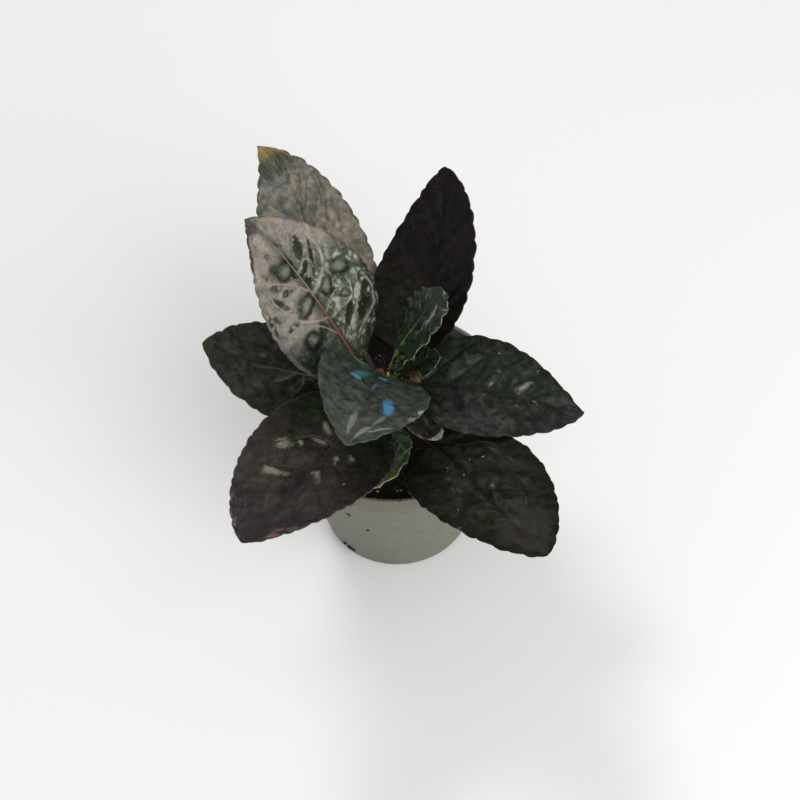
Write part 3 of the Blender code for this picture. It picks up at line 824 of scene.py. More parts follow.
upperLeft = leafOf(
    dict(inner=(0.017, 0.034, 0.017), outer=(0.075, 0.086, 0.064), reach=(0.35, 0.75),
        patch=(0.007, 0.016, 0.007), patchMix=0.45, pillow=(0.115, 0.135, 0.105), pillowLightMix=0.8,
        # The pale purple-beige side tones here are painted sheen, reflected light painted into the colour; the
        # dark blister colour is painted shade, and the dome tops and crest glints are painted highlights
        vein=(0.085, 0.07, 0.06), veinMix=0.6, leftToneAndSheen=((0.325, 0.265, 0.228), 0.9, 0.24, 0.42),
        rightToneAndSheen=((0.28, 0.23, 0.2), 0.9, 0.6, 0.74), blisterShade=(0.007, 0.013, 0.006), humpShine=0.12,
        domeHighlight=(0.17, 0.185, 0.14), domeHighlightMix=0.85, topRagged=0.7, topFrom=0.55, crestGlint=(0.35, 0.355, 0.29),
        crestGlintMix=0.85, rim=(0.05, 0.033, 0.038), rimMix=0.8, rough=0.2, gloss=0.16,
        ridge=(0.38, 0.335, 0.285), ridgeMix=0.85, fleckMix=0.35, rib=(0.17, 0.062, 0.045),
        ribTip=(0.17, 0.14, 0.115), ribReach=(0.38, 0.55), petiole=(0.05, 0.018, 0.015),
        under=(0.018, 0.01, 0.011), underVein=(0.04, 0.02, 0.022),
        marks=((0.93, -0.85, 0.04, 0.12, (0.3, 0.2, 0.1), 0.5),
            (0.945, -0.45, 0.03, 0.3, (0.22, 0.23, 0.1), 0.6),
            (0.97, 0.4, 0.06, 0.9, (0.03, 0.018, 0.024), 0.9),
            (0.88, 0.95, 0.14, 0.12, (0.035, 0.022, 0.028), 0.8),
            (0.33, 0.97, 0.16, 0.06, (0.17, 0.16, 0.145), 0.8),
            (0.26, -0.64, 0.01, 0.022, (0.3, 0.12, 0.05), 0.6))),
    node="leaf_upper_left", height=11.5, azimuth=155, petiole=7, petioleRise=22, length=50.5, width=29.5,
    rise=67, droop=21, turn=-25, hook=36, roll=-6, twist=-34, fold=3, left=(0.99, 0.52, 0.91),
    right=(1.03, 0.52, 0.85), veinsLeft=(0.03, 0.19, 0.34, 0.55, 0.74, 0.9),
    veinsRight=(0.02, 0.2, 0.36, 0.52, 0.7, 0.86), pucker=0.6, flatMargin=2.4, rung=3.6, wrinkleDepth=0.26,
    wrinkle=1.3, rightCrinkle=1.5, lobe=3.2, lobeDepth=0.35, seed=22.0, ribSink=-0.1, ribThick=0.42,
    squares=(144, 220), rimWidth=0.5,
    humps=((0.69, 0.26, 2.8, 3.1, 1.1), (0.65, 0.08, 2.4, 1.4, -0.3, 0.3), (0.47, 0.25, 2.7, 3.1, 1.1),
        (0.72, -0.34, 2.6, 1.3, -0.3, -0.8), (0.63, -0.16, 2.0, 1.0, -0.3, -0.8),
        (0.55, -0.08, 1.4, 0.8, -0.3, -0.8), (0.49, -0.28, 2.5, 2.2, 0.9, -0.4),
        (0.53, -0.66, 2.6, 2.9, 0.8), (0.385, -0.47, 1.5, 1.6, 0.4), (0.335, -0.78, 2.4, 1.5, -0.3, -0.6),
        (0.24, -0.62, 3.2, 2.3, -0.3, -0.4), (0.27, -0.32, 2.8, 1.4, -0.3, -0.8), (0.31, 0.5, 2.7, 2.9, 0.8),
        (0.3, 0.22, 2.2, 1.7, -0.3), (0.425, 0.6, 1.0, 2.6, -0.11), (0.58, 0.36, 1.1, 1.6, -0.15, 0.4),
        (0.645, 0.54, 1.7, 1.9, -0.11, 0.3), (0.555, 0.58, 3.2, 1.1, -0.12, 0.4),
        (0.51, 0.92, 4.6, 0.8, -0.12), (0.71, 0.64, 1.9, 1.4, -0.09, 0.5),
        (0.8, 0.42, 2.4, 1.4, -0.075, 0.4), (0.52, 0.8, 1.8, 0.8, -0.1, 0.3),
        (0.81, -0.05, 2.0, 0.9, -0.085, 0.5), (0.65, -0.42, 3.8, 0.55, -0.25, -0.6),
        (0.56, -0.04, 1.3, 0.7, -0.25, -0.6), (0.44, -0.3, 1.0, 1.6, -0.2)),
    ridges=((0.24, 0.3, (0.51, 0.0), (0.59, 0.2), (0.67, 0.56)),
        (0.26, 0.3, (0.34, 0.0), (0.38, 0.26), (0.44, 0.48), (0.61, 0.74)),
        (0.45, 0.3, (0.49, 0.0), (0.55, -0.32), (0.6, -0.5), (0.66, -0.64), (0.75, -0.74)),
        (0.28, 0.4, (0.33, 0.0), (0.34, -0.44), (0.39, -0.58), (0.45, -0.6)),
        (0.22, 0.3, (0.37, -0.02), (0.42, -0.24), (0.44, -0.44)),
        (0.24, 0.4, (0.185, -0.06), (0.275, -0.48), (0.36, -0.66), (0.44, -0.8)),
        (0.42, 0.45, (0.15, -0.4), (0.19, -0.72), (0.225, -0.88), (0.305, -0.91), (0.38, -0.88)),
        (0.22, 0.2, (0.23, 0.0), (0.36, 0.3), (0.37, 0.8)),
        (0.3, 0.25, (0.62, 0.0), (0.66, -0.24), (0.64, -0.34), (0.6, -0.3)),
        (0.3, 0.2, (0.56, 0.16), (0.56, 0.3), (0.52, 0.42))))
backRight = leafOf(
    dict(inner=(0.006, 0.01, 0.003), outer=(0.0045, 0.004, 0.0045), reach=(0.1, 0.4),
        patch=(0.01, 0.005, 0.004), patchMix=0.8, leftToneAndSheen=((0.012, 0.014, 0.006), 0.8, 0.6, 0.2),
        pillow=(0.01, 0.01, 0.01), vein=(0.012, 0.011, 0.01), rim=(0.03, 0.013, 0.008), rough=0.42,
        gloss=0.15, rib=(0.01, 0.01, 0.007), ribTip=(0.006, 0.005, 0.006), petiole=(0.02, 0.012, 0.008),
        under=(0.03, 0.008, 0.014)),
    node="leaf_back_right", height=8.5, azimuth=55, petiole=9, petioleRise=52, length=48, width=28.5,
    rise=35, droop=-16, turn=25, hook=10, roll=-14, twist=-17, fold=17, left=(1.06, 0.28, 0.75),
    right=(0.97, 0.48, 0.67), pucker=0.7, wrinkleDepth=0.2, wrinkle=1.8, rung=5.0, lobe=4.0, lobeDepth=0.5,
    seed=33.0, ribSink=1.6, foldRound=3.0)
leftLeaf = leafOf(
    dict(inner=(0.01, 0.009, 0.006), outer=(0.016, 0.017, 0.012), gloss=0.22,
        blisterShade=(0.008, 0.009, 0.006), blisterShadeMix=0.6, domeHighlight=(0.1, 0.1, 0.08), domeHighlightMix=0.6,
        pillow=(0.04, 0.044, 0.032), vein=(0.05, 0.05, 0.036), veinMix=0.4, ridge=(0.15, 0.15, 0.125),
        ridgeMix=0.8, rim=(0.045, 0.045, 0.016), rimMix=0.6, rib=(0.085, 0.07, 0.02),
        ribTip=(0.018, 0.02, 0.012), ribReach=(0.25, 0.6), petiole=(0.1, 0.085, 0.025),
        marks=((0.645, -0.54, 0.05, 0.12, (0.03, 0.045, 0.01), 0.5),
            (0.96, 0.0, 0.05, 0.9, (0.03, 0.04, 0.015), 0.5))),
    node="leaf_left", height=7, azimuth=183, petiole=15, petioleRise=54, length=34.7, width=27, rise=22,
    droop=-18, hook=-9, roll=-10, twist=8, left=(1.02, 0.55, 0.8), right=(0.97, 0.56, 0.8), pucker=0.75,
    rung=3.2, lobe=4.4, lobeDepth=0.5, seed=44.0, squares=(100, 124), ribSink=0.35, ribThick=0.5,
    humps=((0.28, 0.38, 1.8, 1.6, 0.5), (0.53, -0.22, 1.8, 1.5, 0.45), (0.22, 0.62, 1.5, 1.0, 0.4),
        (0.42, 0.62, 2.4, 1.2, -0.3), (0.62, 0.2, 1.2, 2.2, -0.3, 0.5), (0.36, -0.4, 2.2, 1.4, -0.3),
        (0.8, 0.3, 1.2, 2.0, -0.2)),
    ridges=((0.35, 0.25, (0.26, 0.0), (0.34, 0.16), (0.44, 0.3)),
        (0.3, 0.2, (0.2, 0.0), (0.22, 0.3), (0.3, 0.55)), (0.3, 0.2, (0.44, 0.0), (0.6, 0.1))))
lowerLeft = leafOf(
    dict(inner=(0.005, 0.013, 0.004), outer=(0.03, 0.023, 0.022), reach=(0.2, 0.6), patch=(0.018, 0.01, 0.01),
        pillow=(0.056, 0.049, 0.043), pillowLightMix=0.65, ridge=(0.12, 0.11, 0.095), ridgeMix=0.8,
        blisterShade=(0.01, 0.016, 0.006), blisterShadeMix=0.7, domeHighlight=(0.27, 0.255, 0.2), domeHighlightMix=0.75,
        vein=(0.008, 0.007, 0.006), veinMix=0.5, rim=(0.04, 0.02, 0.018), rough=0.27, gloss=0.25,
        rib=(0.05, 0.018, 0.026), ribTip=(0.02, 0.012, 0.014), ribReach=(0.4, 0.62),
        petiole=(0.09, 0.02, 0.03), fleckMix=0.55,
        marks=((0.925, 0.84, 0.02, 0.16, (0.28, 0.13, 0.08), 0.7),
            (0.895, 0.66, 0.03, 0.12, (0.15, 0.12, 0.1), 0.6),
            (0.86, 0.88, 0.02, 0.12, (0.13, 0.1, 0.09), 0.6),
            (0.52, 0.58, 0.008, 0.018, (0.5, 0.2, 0.06), 0.9),
            (0.5, 0.03, 0.014, 0.035, (0.3, 0.2, 0.16), 0.7),
            (0.58, -0.02, 0.06, 0.2, (0.02, 0.01, 0.015), 0.5))),
    node="leaf_lower_left", height=9, azimuth=238, petiole=9, petioleRise=52, length=54.5, width=32, rise=14,
    droop=2, turn=5, hook=-16, roll=-21, twist=36, fold=17, left=(1.03, 0.53, 0.63), right=(1.0, 0.56, 0.64),
    pucker=0.45, flatMargin=1.7, lobe=3.1, lobeDepth=0.42, seed=55.0, ribSink=0.25, ruffle=0.15, swell=0.12,
    humps=((0.255, -0.28, 2.2, 2.4, 0.6, 0.4), (0.465, -0.54, 3.2, 3.1, 0.6, -0.5),
        (0.41, -0.36, 1.3, 1.1, 0.4), (0.345, -0.2, 1.5, 2.0, 0.5, -0.6), (0.38, 0.18, 1.9, 1.3, 0.6, 0.3),
        (0.355, 0.38, 1.4, 1.3, 0.5, 0.6), (0.515, 0.12, 2.0, 1.7, 0.7), (0.61, -0.4, 2.8, 3.2, 0.45, -0.7)),
    ridges=((0.22, 0.3, (0.3, -0.02), (0.33, -0.3), (0.42, -0.5), (0.5, -0.66)),
        (0.22, 0.12, (0.5, 0.0), (0.53, -0.24), (0.6, -0.52))))
frontLeaf = leafOf(
    dict(inner=(0.022, 0.04, 0.023), outer=(0.03, 0.04, 0.029), patch=(0.042, 0.038, 0.034), patchScale=260.0,
        pillow=(0.024, 0.046, 0.024), vein=(0.02, 0.028, 0.022), rim=(0.05, 0.055, 0.04), rimMix=0.35,
        rough=0.34, gloss=0.5, rib=(0.02, 0.03, 0.016), ribTip=(0.022, 0.03, 0.022),
        petiole=(0.12, 0.06, 0.03), grain=0.2,
        # The pale grey and white marks are painted highlights
        marks=((0.08, -0.72, 0.05, 0.25, (0.2, 0.2, 0.14), 0.6),
            (0.235, -0.31, 0.13, 0.08, -0.96, (0.04, 0.13, 0.15), 0.7),
            (0.315, -0.34, 0.035, 0.09, -0.96, (0.06, 0.27, 0.42), 0.85),
            (0.08, 0.14, 0.05, 0.1, 1.8, (0.05, 0.24, 0.36), 0.8),
            (0.25, 0.02, 0.07, 0.045, -0.35, (0.07, 0.14, 0.27), 0.65),
            (0.53, 0.4, 0.11, 0.11, 0.93, (0.05, 0.22, 0.42), 0.9),
            (0.8, 0.1, 0.1, 0.4, (0.07, 0.07, 0.07), 0.5),
            (0.78, -0.1, 0.14, 0.08, -0.36, (0.2, 0.2, 0.18), 0.6),
            (0.855, 0.32, 0.09, 0.11, -0.92, (0.27, 0.27, 0.24), 0.6),
            (0.8, 0.7, 0.055, 0.1, -5.0, (0.3, 0.3, 0.27), 0.55),
            (0.705, 0.45, 0.07, 0.07, -0.55, (0.24, 0.25, 0.23), 0.55),
            (0.63, 0.96, 0.03, 0.07, (0.3, 0.3, 0.28), 0.6),
            (0.53, 0.97, 0.025, 0.05, (0.35, 0.35, 0.33), 0.7))),
    node="leaf_front", height=18.5, azimuth=260, petiole=0.5, petioleRise=8, length=39.6, width=28, rise=38,
    droop=18, turn=-8, hook=2, roll=-22, twist=4, fold=21, left=(0.98, 0.55, 0.82), right=(1.01, 0.56, 0.73),
    pucker=0.75, wrinkleDepth=0.12, rung=4.6, lobe=3.5, lobeDepth=0.3, seed=66.0, ribSink=0.95,
    squares=(104, 136),
    humps=((0.76, -0.12, 3.4, 1.2, 0.35), (0.85, 0.32, 2.6, 1.6, 0.35), (0.68, 0.5, 2.0, 2.6, 0.35)))
rightLeaf = leafOf(
    dict(inner=(0.01, 0.014, 0.009), outer=(0.017, 0.014, 0.015), reach=(0.6, 0.95),
        patch=(0.005, 0.008, 0.004), patchMix=0.85, patchScale=190.0,
        # The lower half's purple-grey is partly its own tone and partly painted sheen
        leftToneAndSheen=((0.009, 0.014, 0.008), 0.7, 0.0, 0.01), rightToneAndSheen=((0.026, 0.022, 0.023), 0.8, 0.0, 0.4),
        pillow=(0.049, 0.053, 0.044), pillowLightMix=0.85, vein=(0.005, 0.007, 0.005), veinMix=0.55,
        rim=(0.035, 0.022, 0.016), rib=(0.04, 0.02, 0.01), ribTip=(0.012, 0.01, 0.011), ribReach=(0.1, 0.4),
        petiole=(0.08, 0.035, 0.016), gloss=0.16, rough=0.32, blisterShade=(0.005, 0.008, 0.004), blisterShadeMix=0.75,
        domeHighlight=(0.27, 0.27, 0.22), domeHighlightMix=0.8,
        marks=((0.725, -0.04, 0.006, 0.018, (0.4, 0.15, 0.04), 0.8),)),
    node="leaf_right", height=12, azimuth=-12, petiole=5.5, petioleRise=38, length=43.6, width=28, rise=7,
    droop=21, turn=-16, hook=24, roll=8, twist=-6, fold=14, left=(0.97, 0.56, 0.94),
    right=(1.03, 0.54, 0.81), pucker=0.8, rung=4.0, lobe=3.9, lobeDepth=0.42, seed=77.0, ribSink=0.78,
    squares=(104, 140), rightCalm=0.7,
    humps=((0.63, 0.28, 2.8, 1.9, 0.5, 1.0), (0.445, 0.13, 1.5, 1.1, 0.4, 1.1),
        (0.48, 0.42, 0.9, 0.7, 0.35, 1.0), (0.45, 0.74, 0.8, 0.7, 0.35), (0.56, 0.57, 0.8, 0.7, 0.25, 0.8),
        (0.69, 0.78, 0.9, 0.6, 0.3, 0.8), (0.71, 0.0, 1.3, 0.9, 0.3), (0.615, -0.21, 1.0, 0.8, 0.35),
        (0.3, -0.48, 1.6, 2.6, -0.4, 0.5), (0.46, -0.26, 1.5, 2.2, -0.4, -0.4),
        (0.72, -0.5, 2.4, 1.2, -0.4, 0.2), (0.62, -0.36, 1.3, 1.3, -0.3), (0.53, 0.24, 1.4, 2.2, -0.4, 0.6),
        (0.38, 0.36, 1.3, 2.2, -0.35, 0.5), (0.56, 0.76, 1.6, 1.2, -0.3, 0.5), (0.3, 0.7, 1.6, 1.4, -0.3)))
lowerRight = leafOf(
    dict(inner=(0.005, 0.008, 0.003), outer=(0.012, 0.01, 0.007), patch=(0.005, 0.009, 0.003), patchMix=0.8,
        pillow=(0.03, 0.028, 0.02), pillowLightMix=0.85, blisterShade=(0.004, 0.007, 0.002), blisterShadeMix=0.6,
        domeHighlight=(0.07, 0.074, 0.046), domeHighlightMix=0.7, topRagged=1.0, ridge=(0.035, 0.034, 0.028),
        ridgeMix=0.6, vein=(0.004, 0.005, 0.003), veinMix=0.55, rim=(0.008, 0.005, 0.003), rimMix=1.0,
        rib=(0.03, 0.012, 0.015), ribTip=(0.018, 0.016, 0.016), ribReach=(0.1, 0.45),
        petiole=(0.08, 0.02, 0.03), rough=0.36, gloss=0.1,
        marks=((0.86, 0.1, 0.16, 0.7, (0.036, 0.033, 0.026), 0.6),
            (0.31, 0.22, 0.006, 0.014, (0.3, 0.2, 0.11), 0.6),
            (0.34, 0.4, 0.006, 0.022, (0.32, 0.23, 0.13), 0.8),
            (0.38, -0.03, 0.005, 0.01, (0.6, 0.6, 0.58), 0.9),
            (0.535, 0.16, 0.009, 0.018, (0.2, 0.16, 0.1), 0.7),
            (0.295, -0.18, 0.012, 0.03, (0.16, 0.08, 0.055), 0.7),
            (0.32, -0.22, 0.006, 0.014, (0.2, 0.11, 0.07), 0.7),
            (0.605, -0.62, 0.006, 0.014, (0.28, 0.14, 0.07), 0.7),
            (0.62, -0.66, 0.005, 0.012, (0.26, 0.13, 0.07), 0.6),
            (0.43, -0.6, 0.01, 0.025, (0.16, 0.08, 0.04), 0.5),
            (0.71, -0.97, 0.008, 0.04, (0.22, 0.1, 0.05), 0.5),
            (0.575, -0.08, 0.02, 0.06, (0.05, 0.035, 0.012), 0.6),
            (0.84, -0.08, 0.05, 0.16, (0.016, 0.01, 0.007), 0.5),
            (0.685, -0.25, 0.045, 0.12, (0.014, 0.02, 0.006), 0.7),
            (0.58, 0.0, 0.02, 0.08, (0.004, 0.004, 0.003), 0.7))),
    node="leaf_lower_right", height=1.6, azimuth=-61, petiole=17, petioleRise=-3, length=52, width=31,
    rise=34, droop=34, turn=-7, hook=20, roll=6, twist=-26, fold=10, left=(1.05, 0.55, 0.59),
    right=(0.99, 0.65, 0.69), pucker=0.6, flatMargin=2.0, lobe=3.5, lobeDepth=0.4, seed=88.0, ribSink=0.15,
    ribThick=0.48, rightCalm=0.9, arch=0.6,
    humps=((0.34, 0.62, 5.0, 1.6, 0.6, 0.2), (0.685, -0.25, 2.6, 2.1, 0.9, 0.5),
        (0.5, -0.34, 3.0, 2.2, 0.7, 0.3), (0.395, -0.3, 2.2, 1.8, 0.5), (0.59, 0.66, 2.6, 1.0, 0.35, 0.3),
        (0.71, 0.44, 2.6, 1.1, 0.35, -0.4), (0.57, 0.02, 1.6, 1.2, -0.3), (0.46, 0.36, 2.6, 1.3, -0.3, 0.6),
        (0.58, -0.3, 1.2, 2.4, -0.35, 0.3), (0.62, 0.22, 2.4, 1.1, -0.3, 0.5),
        (0.42, -0.62, 1.4, 1.8, -0.3)),
    ridges=((0.3, 0.15, (0.1, 0.1), (0.22, 0.46), (0.33, 0.64), (0.46, 0.7)),
        (0.25, 0.12, (0.46, 0.06), (0.6, 0.4), (0.72, 0.6)),
        (0.25, 0.12, (0.3, -0.06), (0.42, -0.3), (0.56, -0.44)),
        (0.25, 0.1, (0.62, 0.04), (0.74, 0.28), (0.82, 0.4))))
youngCentre = leafOf(
    dict(inner=(0.004, 0.024, 0.005), outer=(0.006, 0.014, 0.007), patch=(0.006, 0.022, 0.014),
        pillow=(0.01, 0.028, 0.012), leftToneAndSheen=((0.018, 0.02, 0.022), 0.6, 0.3, 0.6),
        vein=(0.04, 0.06, 0.035), veinMix=0.4, rim=(0.3, 0.34, 0.16), rimMix=0.55, rough=0.18, gloss=0.42,
        rib=(0.16, 0.25, 0.012), ribTip=(0.03, 0.045, 0.025), ribReach=(0.3, 0.62),
        petiole=(0.18, 0.28, 0.015), under=(0.03, 0.04, 0.02),
        # The first two pale marks are painted highlights, streaks of sheen along the right side
        marks=((0.74, -0.5, 0.11, 0.09, 0.6, (0.28, 0.29, 0.28), 0.6),
            (0.62, -0.42, 0.08, 0.05, 0.6, (0.24, 0.25, 0.24), 0.5),
            (0.4, -0.3, 0.12, 0.16, (0.01, 0.028, 0.026), 0.6))),
    node="leaf_young_centre", height=15.8, azimuth=27, petiole=1.2, petioleRise=18, length=25.4, width=19,
    rise=69, droop=42, turn=10, hook=14, roll=-42, twist=22, left=(1.1, 0.58, 0.6), right=(0.95, 0.52, 0.52),
    petioleRadius=0.8, pucker=1.2, swell=0.08, rung=2.6, wrinkle=1.2, wrinkleDepth=0.12, lobe=2.4,
    lobeDepth=0.35, ruffle=0.45, ruffleLength=4.0, seed=99.0, squares=(80, 100), ribSink=-0.05, ribThick=0.8,
    rimWidth=0.14)
lowSmall = leafOf(
    dict(inner=(0.02, 0.055, 0.014), outer=(0.13, 0.18, 0.05), reach=(0.45, 0.85), patch=(0.03, 0.08, 0.02),
        vein=(0.1, 0.16, 0.06), rim=(0.3, 0.27, 0.12), rimMix=0.55, rough=0.25, gloss=0.5,
        rib=(0.06, 0.1, 0.03), ribTip=(0.12, 0.16, 0.06), petiole=(0.08, 0.05, 0.025),
        under=(0.05, 0.07, 0.03),
        marks=((0.93, 0.0, 0.13, 1.6, (0.3, 0.34, 0.13), 0.8),
            (0.8, -0.75, 0.07, 0.35, (0.3, 0.18, 0.1), 0.6))),
    node="leaf_low_small", height=4.5, azimuth=272, petiole=9.5, petioleRise=5, length=22.5, width=12,
    rise=13, droop=0, turn=-34, hook=-27, roll=52, twist=-13, fold=-10, petioleRadius=0.65, pucker=0.5,
    rung=2.2, wrinkle=1.1, lobe=2.0, lobeDepth=0.3, ruffle=0.35, ruffleLength=4.5, seed=110.0,
    squares=(48, 72), rimWidth=0.13, ribThick=0.4)
youngFolded = leafOf(
    dict(inner=(0.02, 0.035, 0.02), outer=(0.03, 0.045, 0.026), rim=(0.45, 0.45, 0.38), rimMix=0.6,
        rough=0.25, gloss=0.5, rib=(0.03, 0.04, 0.02), ribTip=(0.06, 0.06, 0.04), petiole=(0.05, 0.03, 0.02),
        under=(0.05, 0.04, 0.03),
        marks=((0.95, 0.0, 0.06, 1.5, (0.5, 0.5, 0.44), 0.7),)),
    node="leaf_young_folded", height=8.2, azimuth=-58, petiole=5.5, petioleRise=-10, length=16.5, width=7,
    rise=18, droop=-2, turn=4, roll=10, twist=3, fold=28, left=(1.0, 0.62, 0.5), right=(1.0, 0.62, 0.5),
    petioleRadius=0.65, pucker=0.25, rung=1.8, wrinkle=0.9, wrinkleDepth=0.08, lobe=1.6, lobeDepth=0.16,
    ruffle=0.15, ruffleLength=3.5, seed=121.0, squares=(40, 60), rimWidth=0.2, ribThick=0.4)
youngRight = leafOf(
    dict(inner=(0.008, 0.022, 0.008), outer=(0.01, 0.022, 0.01), rim=(0.38, 0.37, 0.3), rimMix=0.45,
        rough=0.18, gloss=0.55, rib=(0.03, 0.05, 0.02), ribTip=(0.03, 0.04, 0.025),
        petiole=(0.05, 0.05, 0.025), under=(0.03, 0.04, 0.02)),
    node="leaf_young_right", height=14.4, azimuth=0, petiole=2.5, petioleRise=34, length=12, width=8.6,
    rise=34, droop=8, turn=8, roll=6, fold=4, left=(1.0, 0.65, 0.66), right=(1.0, 0.65, 0.66),
    petioleRadius=0.65, pucker=0.5, rung=1.8, wrinkle=0.9, wrinkleDepth=0.12, lobe=1.5, lobeDepth=0.25,
    ruffle=0.35, ruffleLength=2.6, seed=132.0, squares=(52, 60), rimWidth=0.11, ribThick=0.35)

leaves = (backLeft, upperLeft, backRight, leftLeaf, lowerLeft, frontLeaf, rightLeaf, lowerRight,
          youngCentre, lowSmall, youngFolded, youngRight)
for leafPlan in leaves:
    finishPiece(makeLeaf(leafPlan), leafPlan["node"])
    print("leaf made:", leafPlan["node"])


# Stem and bud

barkLook = {
    "light": (0.060, 0.021, 0.016), "dark": (0.028, 0.013, 0.010), "cloud": (500.0, 0.4, 0.6),
    "rough": (0.35, 0.55), "gloss": 0.5, "grain": (1800.0, 1.5, 0.5),
}


def barkFinish(look):
    material, tree = newFinish("stemBark")
    cloud = cloudy(tree, *look["cloud"])
    colour = blend(tree, cloud, look["light"], look["dark"])
    rough = ramp(tree, cloud, 0.0, 1.0, *look["rough"])
    return endFinish(material, colour, rough, look["gloss"], *look["grain"])


def makeStem(shape):
    # Swollen at the nodes that the petioles leave, and closed to a point at both ends.
    low, high = -shape["sunk"], shape["height"]
    heights = np.concatenate([[low], np.linspace(low, high, 70), [high]])
    above = np.maximum(heights, 0.0)
    centres = stemPoint(above[:, None])
    centres[:, 2] += np.minimum(heights, 0.0)
    centres[0, 2] -= 0.02
    centres[-1, 2] += 0.15
    radii = stemRadius(above)
    for leafPlan in leaves:
        radii = radii + shape["nodeSwell"] * np.exp(-((heights - leafPlan["height"] - 0.4) / 0.5) ** 2)
    radii[[0, -1]] = 0
    stem = rollTube("stem_bark", centres, radii, np.tile([0.0, 1.0, 0.0], (len(centres), 1)), 24)[0]
    closeSeams(stem)
    smooth(stem)
    stem.data.materials.append(barkFinish(barkLook))
    return stem


tinyLeaf = {
    "squares": (24, 30), "rung": 1.2, "wrinkle": 0.6, "pucker": 0.2, "wrinkleDepth": 0.08, "lobe": 0.8,
    "lobeDepth": 0.1, "swell": 0.05, "ruffle": 0.12, "ruffleLength": 1.5, "rimWidth": 0.12, "tipHalf": 0.05,
    "lamina": 0.16, "ribThick": 0.16, "veinsLeft": (0.2, 0.5, 0.8), "veinsRight": (0.2, 0.5, 0.8),
}
# The bud leaflets' pale rim is a painted highlight along their edges
leafletLook = {
    "inner": (0.012, 0.012, 0.010), "outer": (0.02, 0.010, 0.014), "rim": (0.24, 0.20, 0.22),
    "under": (0.010, 0.006, 0.008), "underVein": (0.02, 0.012, 0.016), "rough": 0.14, "gloss": 0.7,
    "rib": (0.03, 0.02, 0.02), "petiole": (0.03, 0.02, 0.02),
}
leaflet = {
    "height": 19.0, "petiole": 0.2, "petioleRise": 80, "width": 2.4, "rise": 84, "droop": -22, "fold": 34,
    "left": (1.0, 0.7, 0.75), "right": (1.0, 0.7, 0.75), "petioleRadius": 0.3,
}
bractLook = {
    "inner": (0.05, 0.018, 0.010), "outer": (0.085, 0.036, 0.020), "patch": (0.025, 0.010, 0.006),
    "patchMix": 0.8, "patchScale": 900.0, "vein": (0.03, 0.012, 0.008), "rim": (0.03, 0.012, 0.008),
    "rough": 0.5, "rib": (0.05, 0.02, 0.012), "ribTip": (0.05, 0.02, 0.012), "petiole": (0.014, 0.010, 0.006),
    "under": (0.10, 0.045, 0.025),
}
bract = {
    "height": 18.7, "azimuth": -29, "petiole": 7.2, "petioleRise": 20, "length": 3.0, "width": 2.6,
    "rise": 12, "droop": 60, "roll": 12, "twist": 24, "fold": 36, "left": (1.0, 0.4, 0.5),
    "right": (1.0, 0.4, 0.5), "petioleRadius": 0.28, "seed": 5.0, "ruffle": 0.35, "lobeDepth": 0.3,
    "node": "bract",
}


def makeBud():
    # Two young leaflets clasped round the tip; each stands on its own side of the stem's axis.
    pieces = []
    for azimuth, seed, length in ((75, 1, 4.2), (252, 2, 3.6)):
        values = {**tinyLeaf, **leaflet, "azimuth": azimuth, "seed": seed, "length": length}
        piece = makeLeaf(leafOf(leafletLook, **values, node=f"bud_{seed}"))
        inward = np.array([0, 0, 0.1]) - toward(np.radians(azimuth), 0.0) * 1.15
        writePoints(piece, readPoints(piece) + inward * mm)
        pieces.append(piece)
    return joinPieces(pieces, "bud_leaflets")


# The bract is a dry brown leaflet on a thin stalk from the stem.
bractPiece = makeLeaf(leafOf(bractLook, **{**tinyLeaf, **bract}))
finishPiece(joinPieces([makeStem(stemShape), bractPiece], "stem_bark"), "stem")
finishPiece(makeBud(), "bud")
print("stem and bud made")


# Soil: a rugged top with crumbs and a few pale grits

def turned(name, profile, sides):
    # A profile of radius and height, turned once round the upright axis.
    piece, x, y = flatSheet(name, sides, len(profile) - 1)
    row = np.rint(y * (len(profile) - 1)).astype(int)
    radius, height = np.array(profile, dtype=float)[row].T
    angle = 2 * np.pi * x
    writePoints(piece, np.stack([radius * np.cos(angle), radius * np.sin(angle), height], -1) * mm)
    closeSeams(piece)
    return piece


potShape = {
    "height": 48.0, "rimRadius": 30.0, "baseRadius": 20.0, "bandHeight": 5.4, "bandDraft": 0.4,
    "bandStep": 1.0, "wall": 1.2, "floor": 1.5, "footInset": 1.0, "footWidth": 2.6, "footRecess": 0.6,
    "edgeWidth": 0.18, "drainHoles": 6, "drainRadius": 1.9, "drainCircle": 12.5, "sides": 144,
}
soilShape = {"top": 45.0, "gap": 0.15, "rings": 44, "sides": 110, "crumbs": 620}


def outerRadius(height):
    top = potShape["rimRadius"] - potShape["bandDraft"] - potShape["bandStep"]
    band = potShape["height"] - potShape["bandHeight"]
    return potShape["baseRadius"] + (top - potShape["baseRadius"]) * height / band


def soilTop(x, y):
    # Height of the soil above its level, the same slow swell as in the CAD with finer lumps on it.
    swell = np.sin(x * 0.62 + 1.3) * np.cos(y * 0.54 - 0.6) + 0.6 * np.sin((x + y) * 0.98)
    height = 0.35 * swell - 0.45
    for spread, seed, high in ((1.5, 3.0, 0.75), (0.6, 4.0, 0.25)):
        near, number = cells(x / spread, y / spread, seed)[::2]
        height = height + high * number * np.clip(1 - near, 0, 1)
    return height


peatLook = {
    "dark": (0.005, 0.0045, 0.004), "brown": (0.022, 0.017, 0.013), "cloud": (900.0, 0.4, 0.6),
    "tan": (0.08, 0.055, 0.038), "tanGrit": (0.80, 0.82), "pale": (0.38, 0.33, 0.25), "paleGrit": (0.90, 0.905),
    "rough": (0.7, 0.95), "gloss": 0.2, "grain": (3000.0, 2.0, 0.6, 0.2),
}


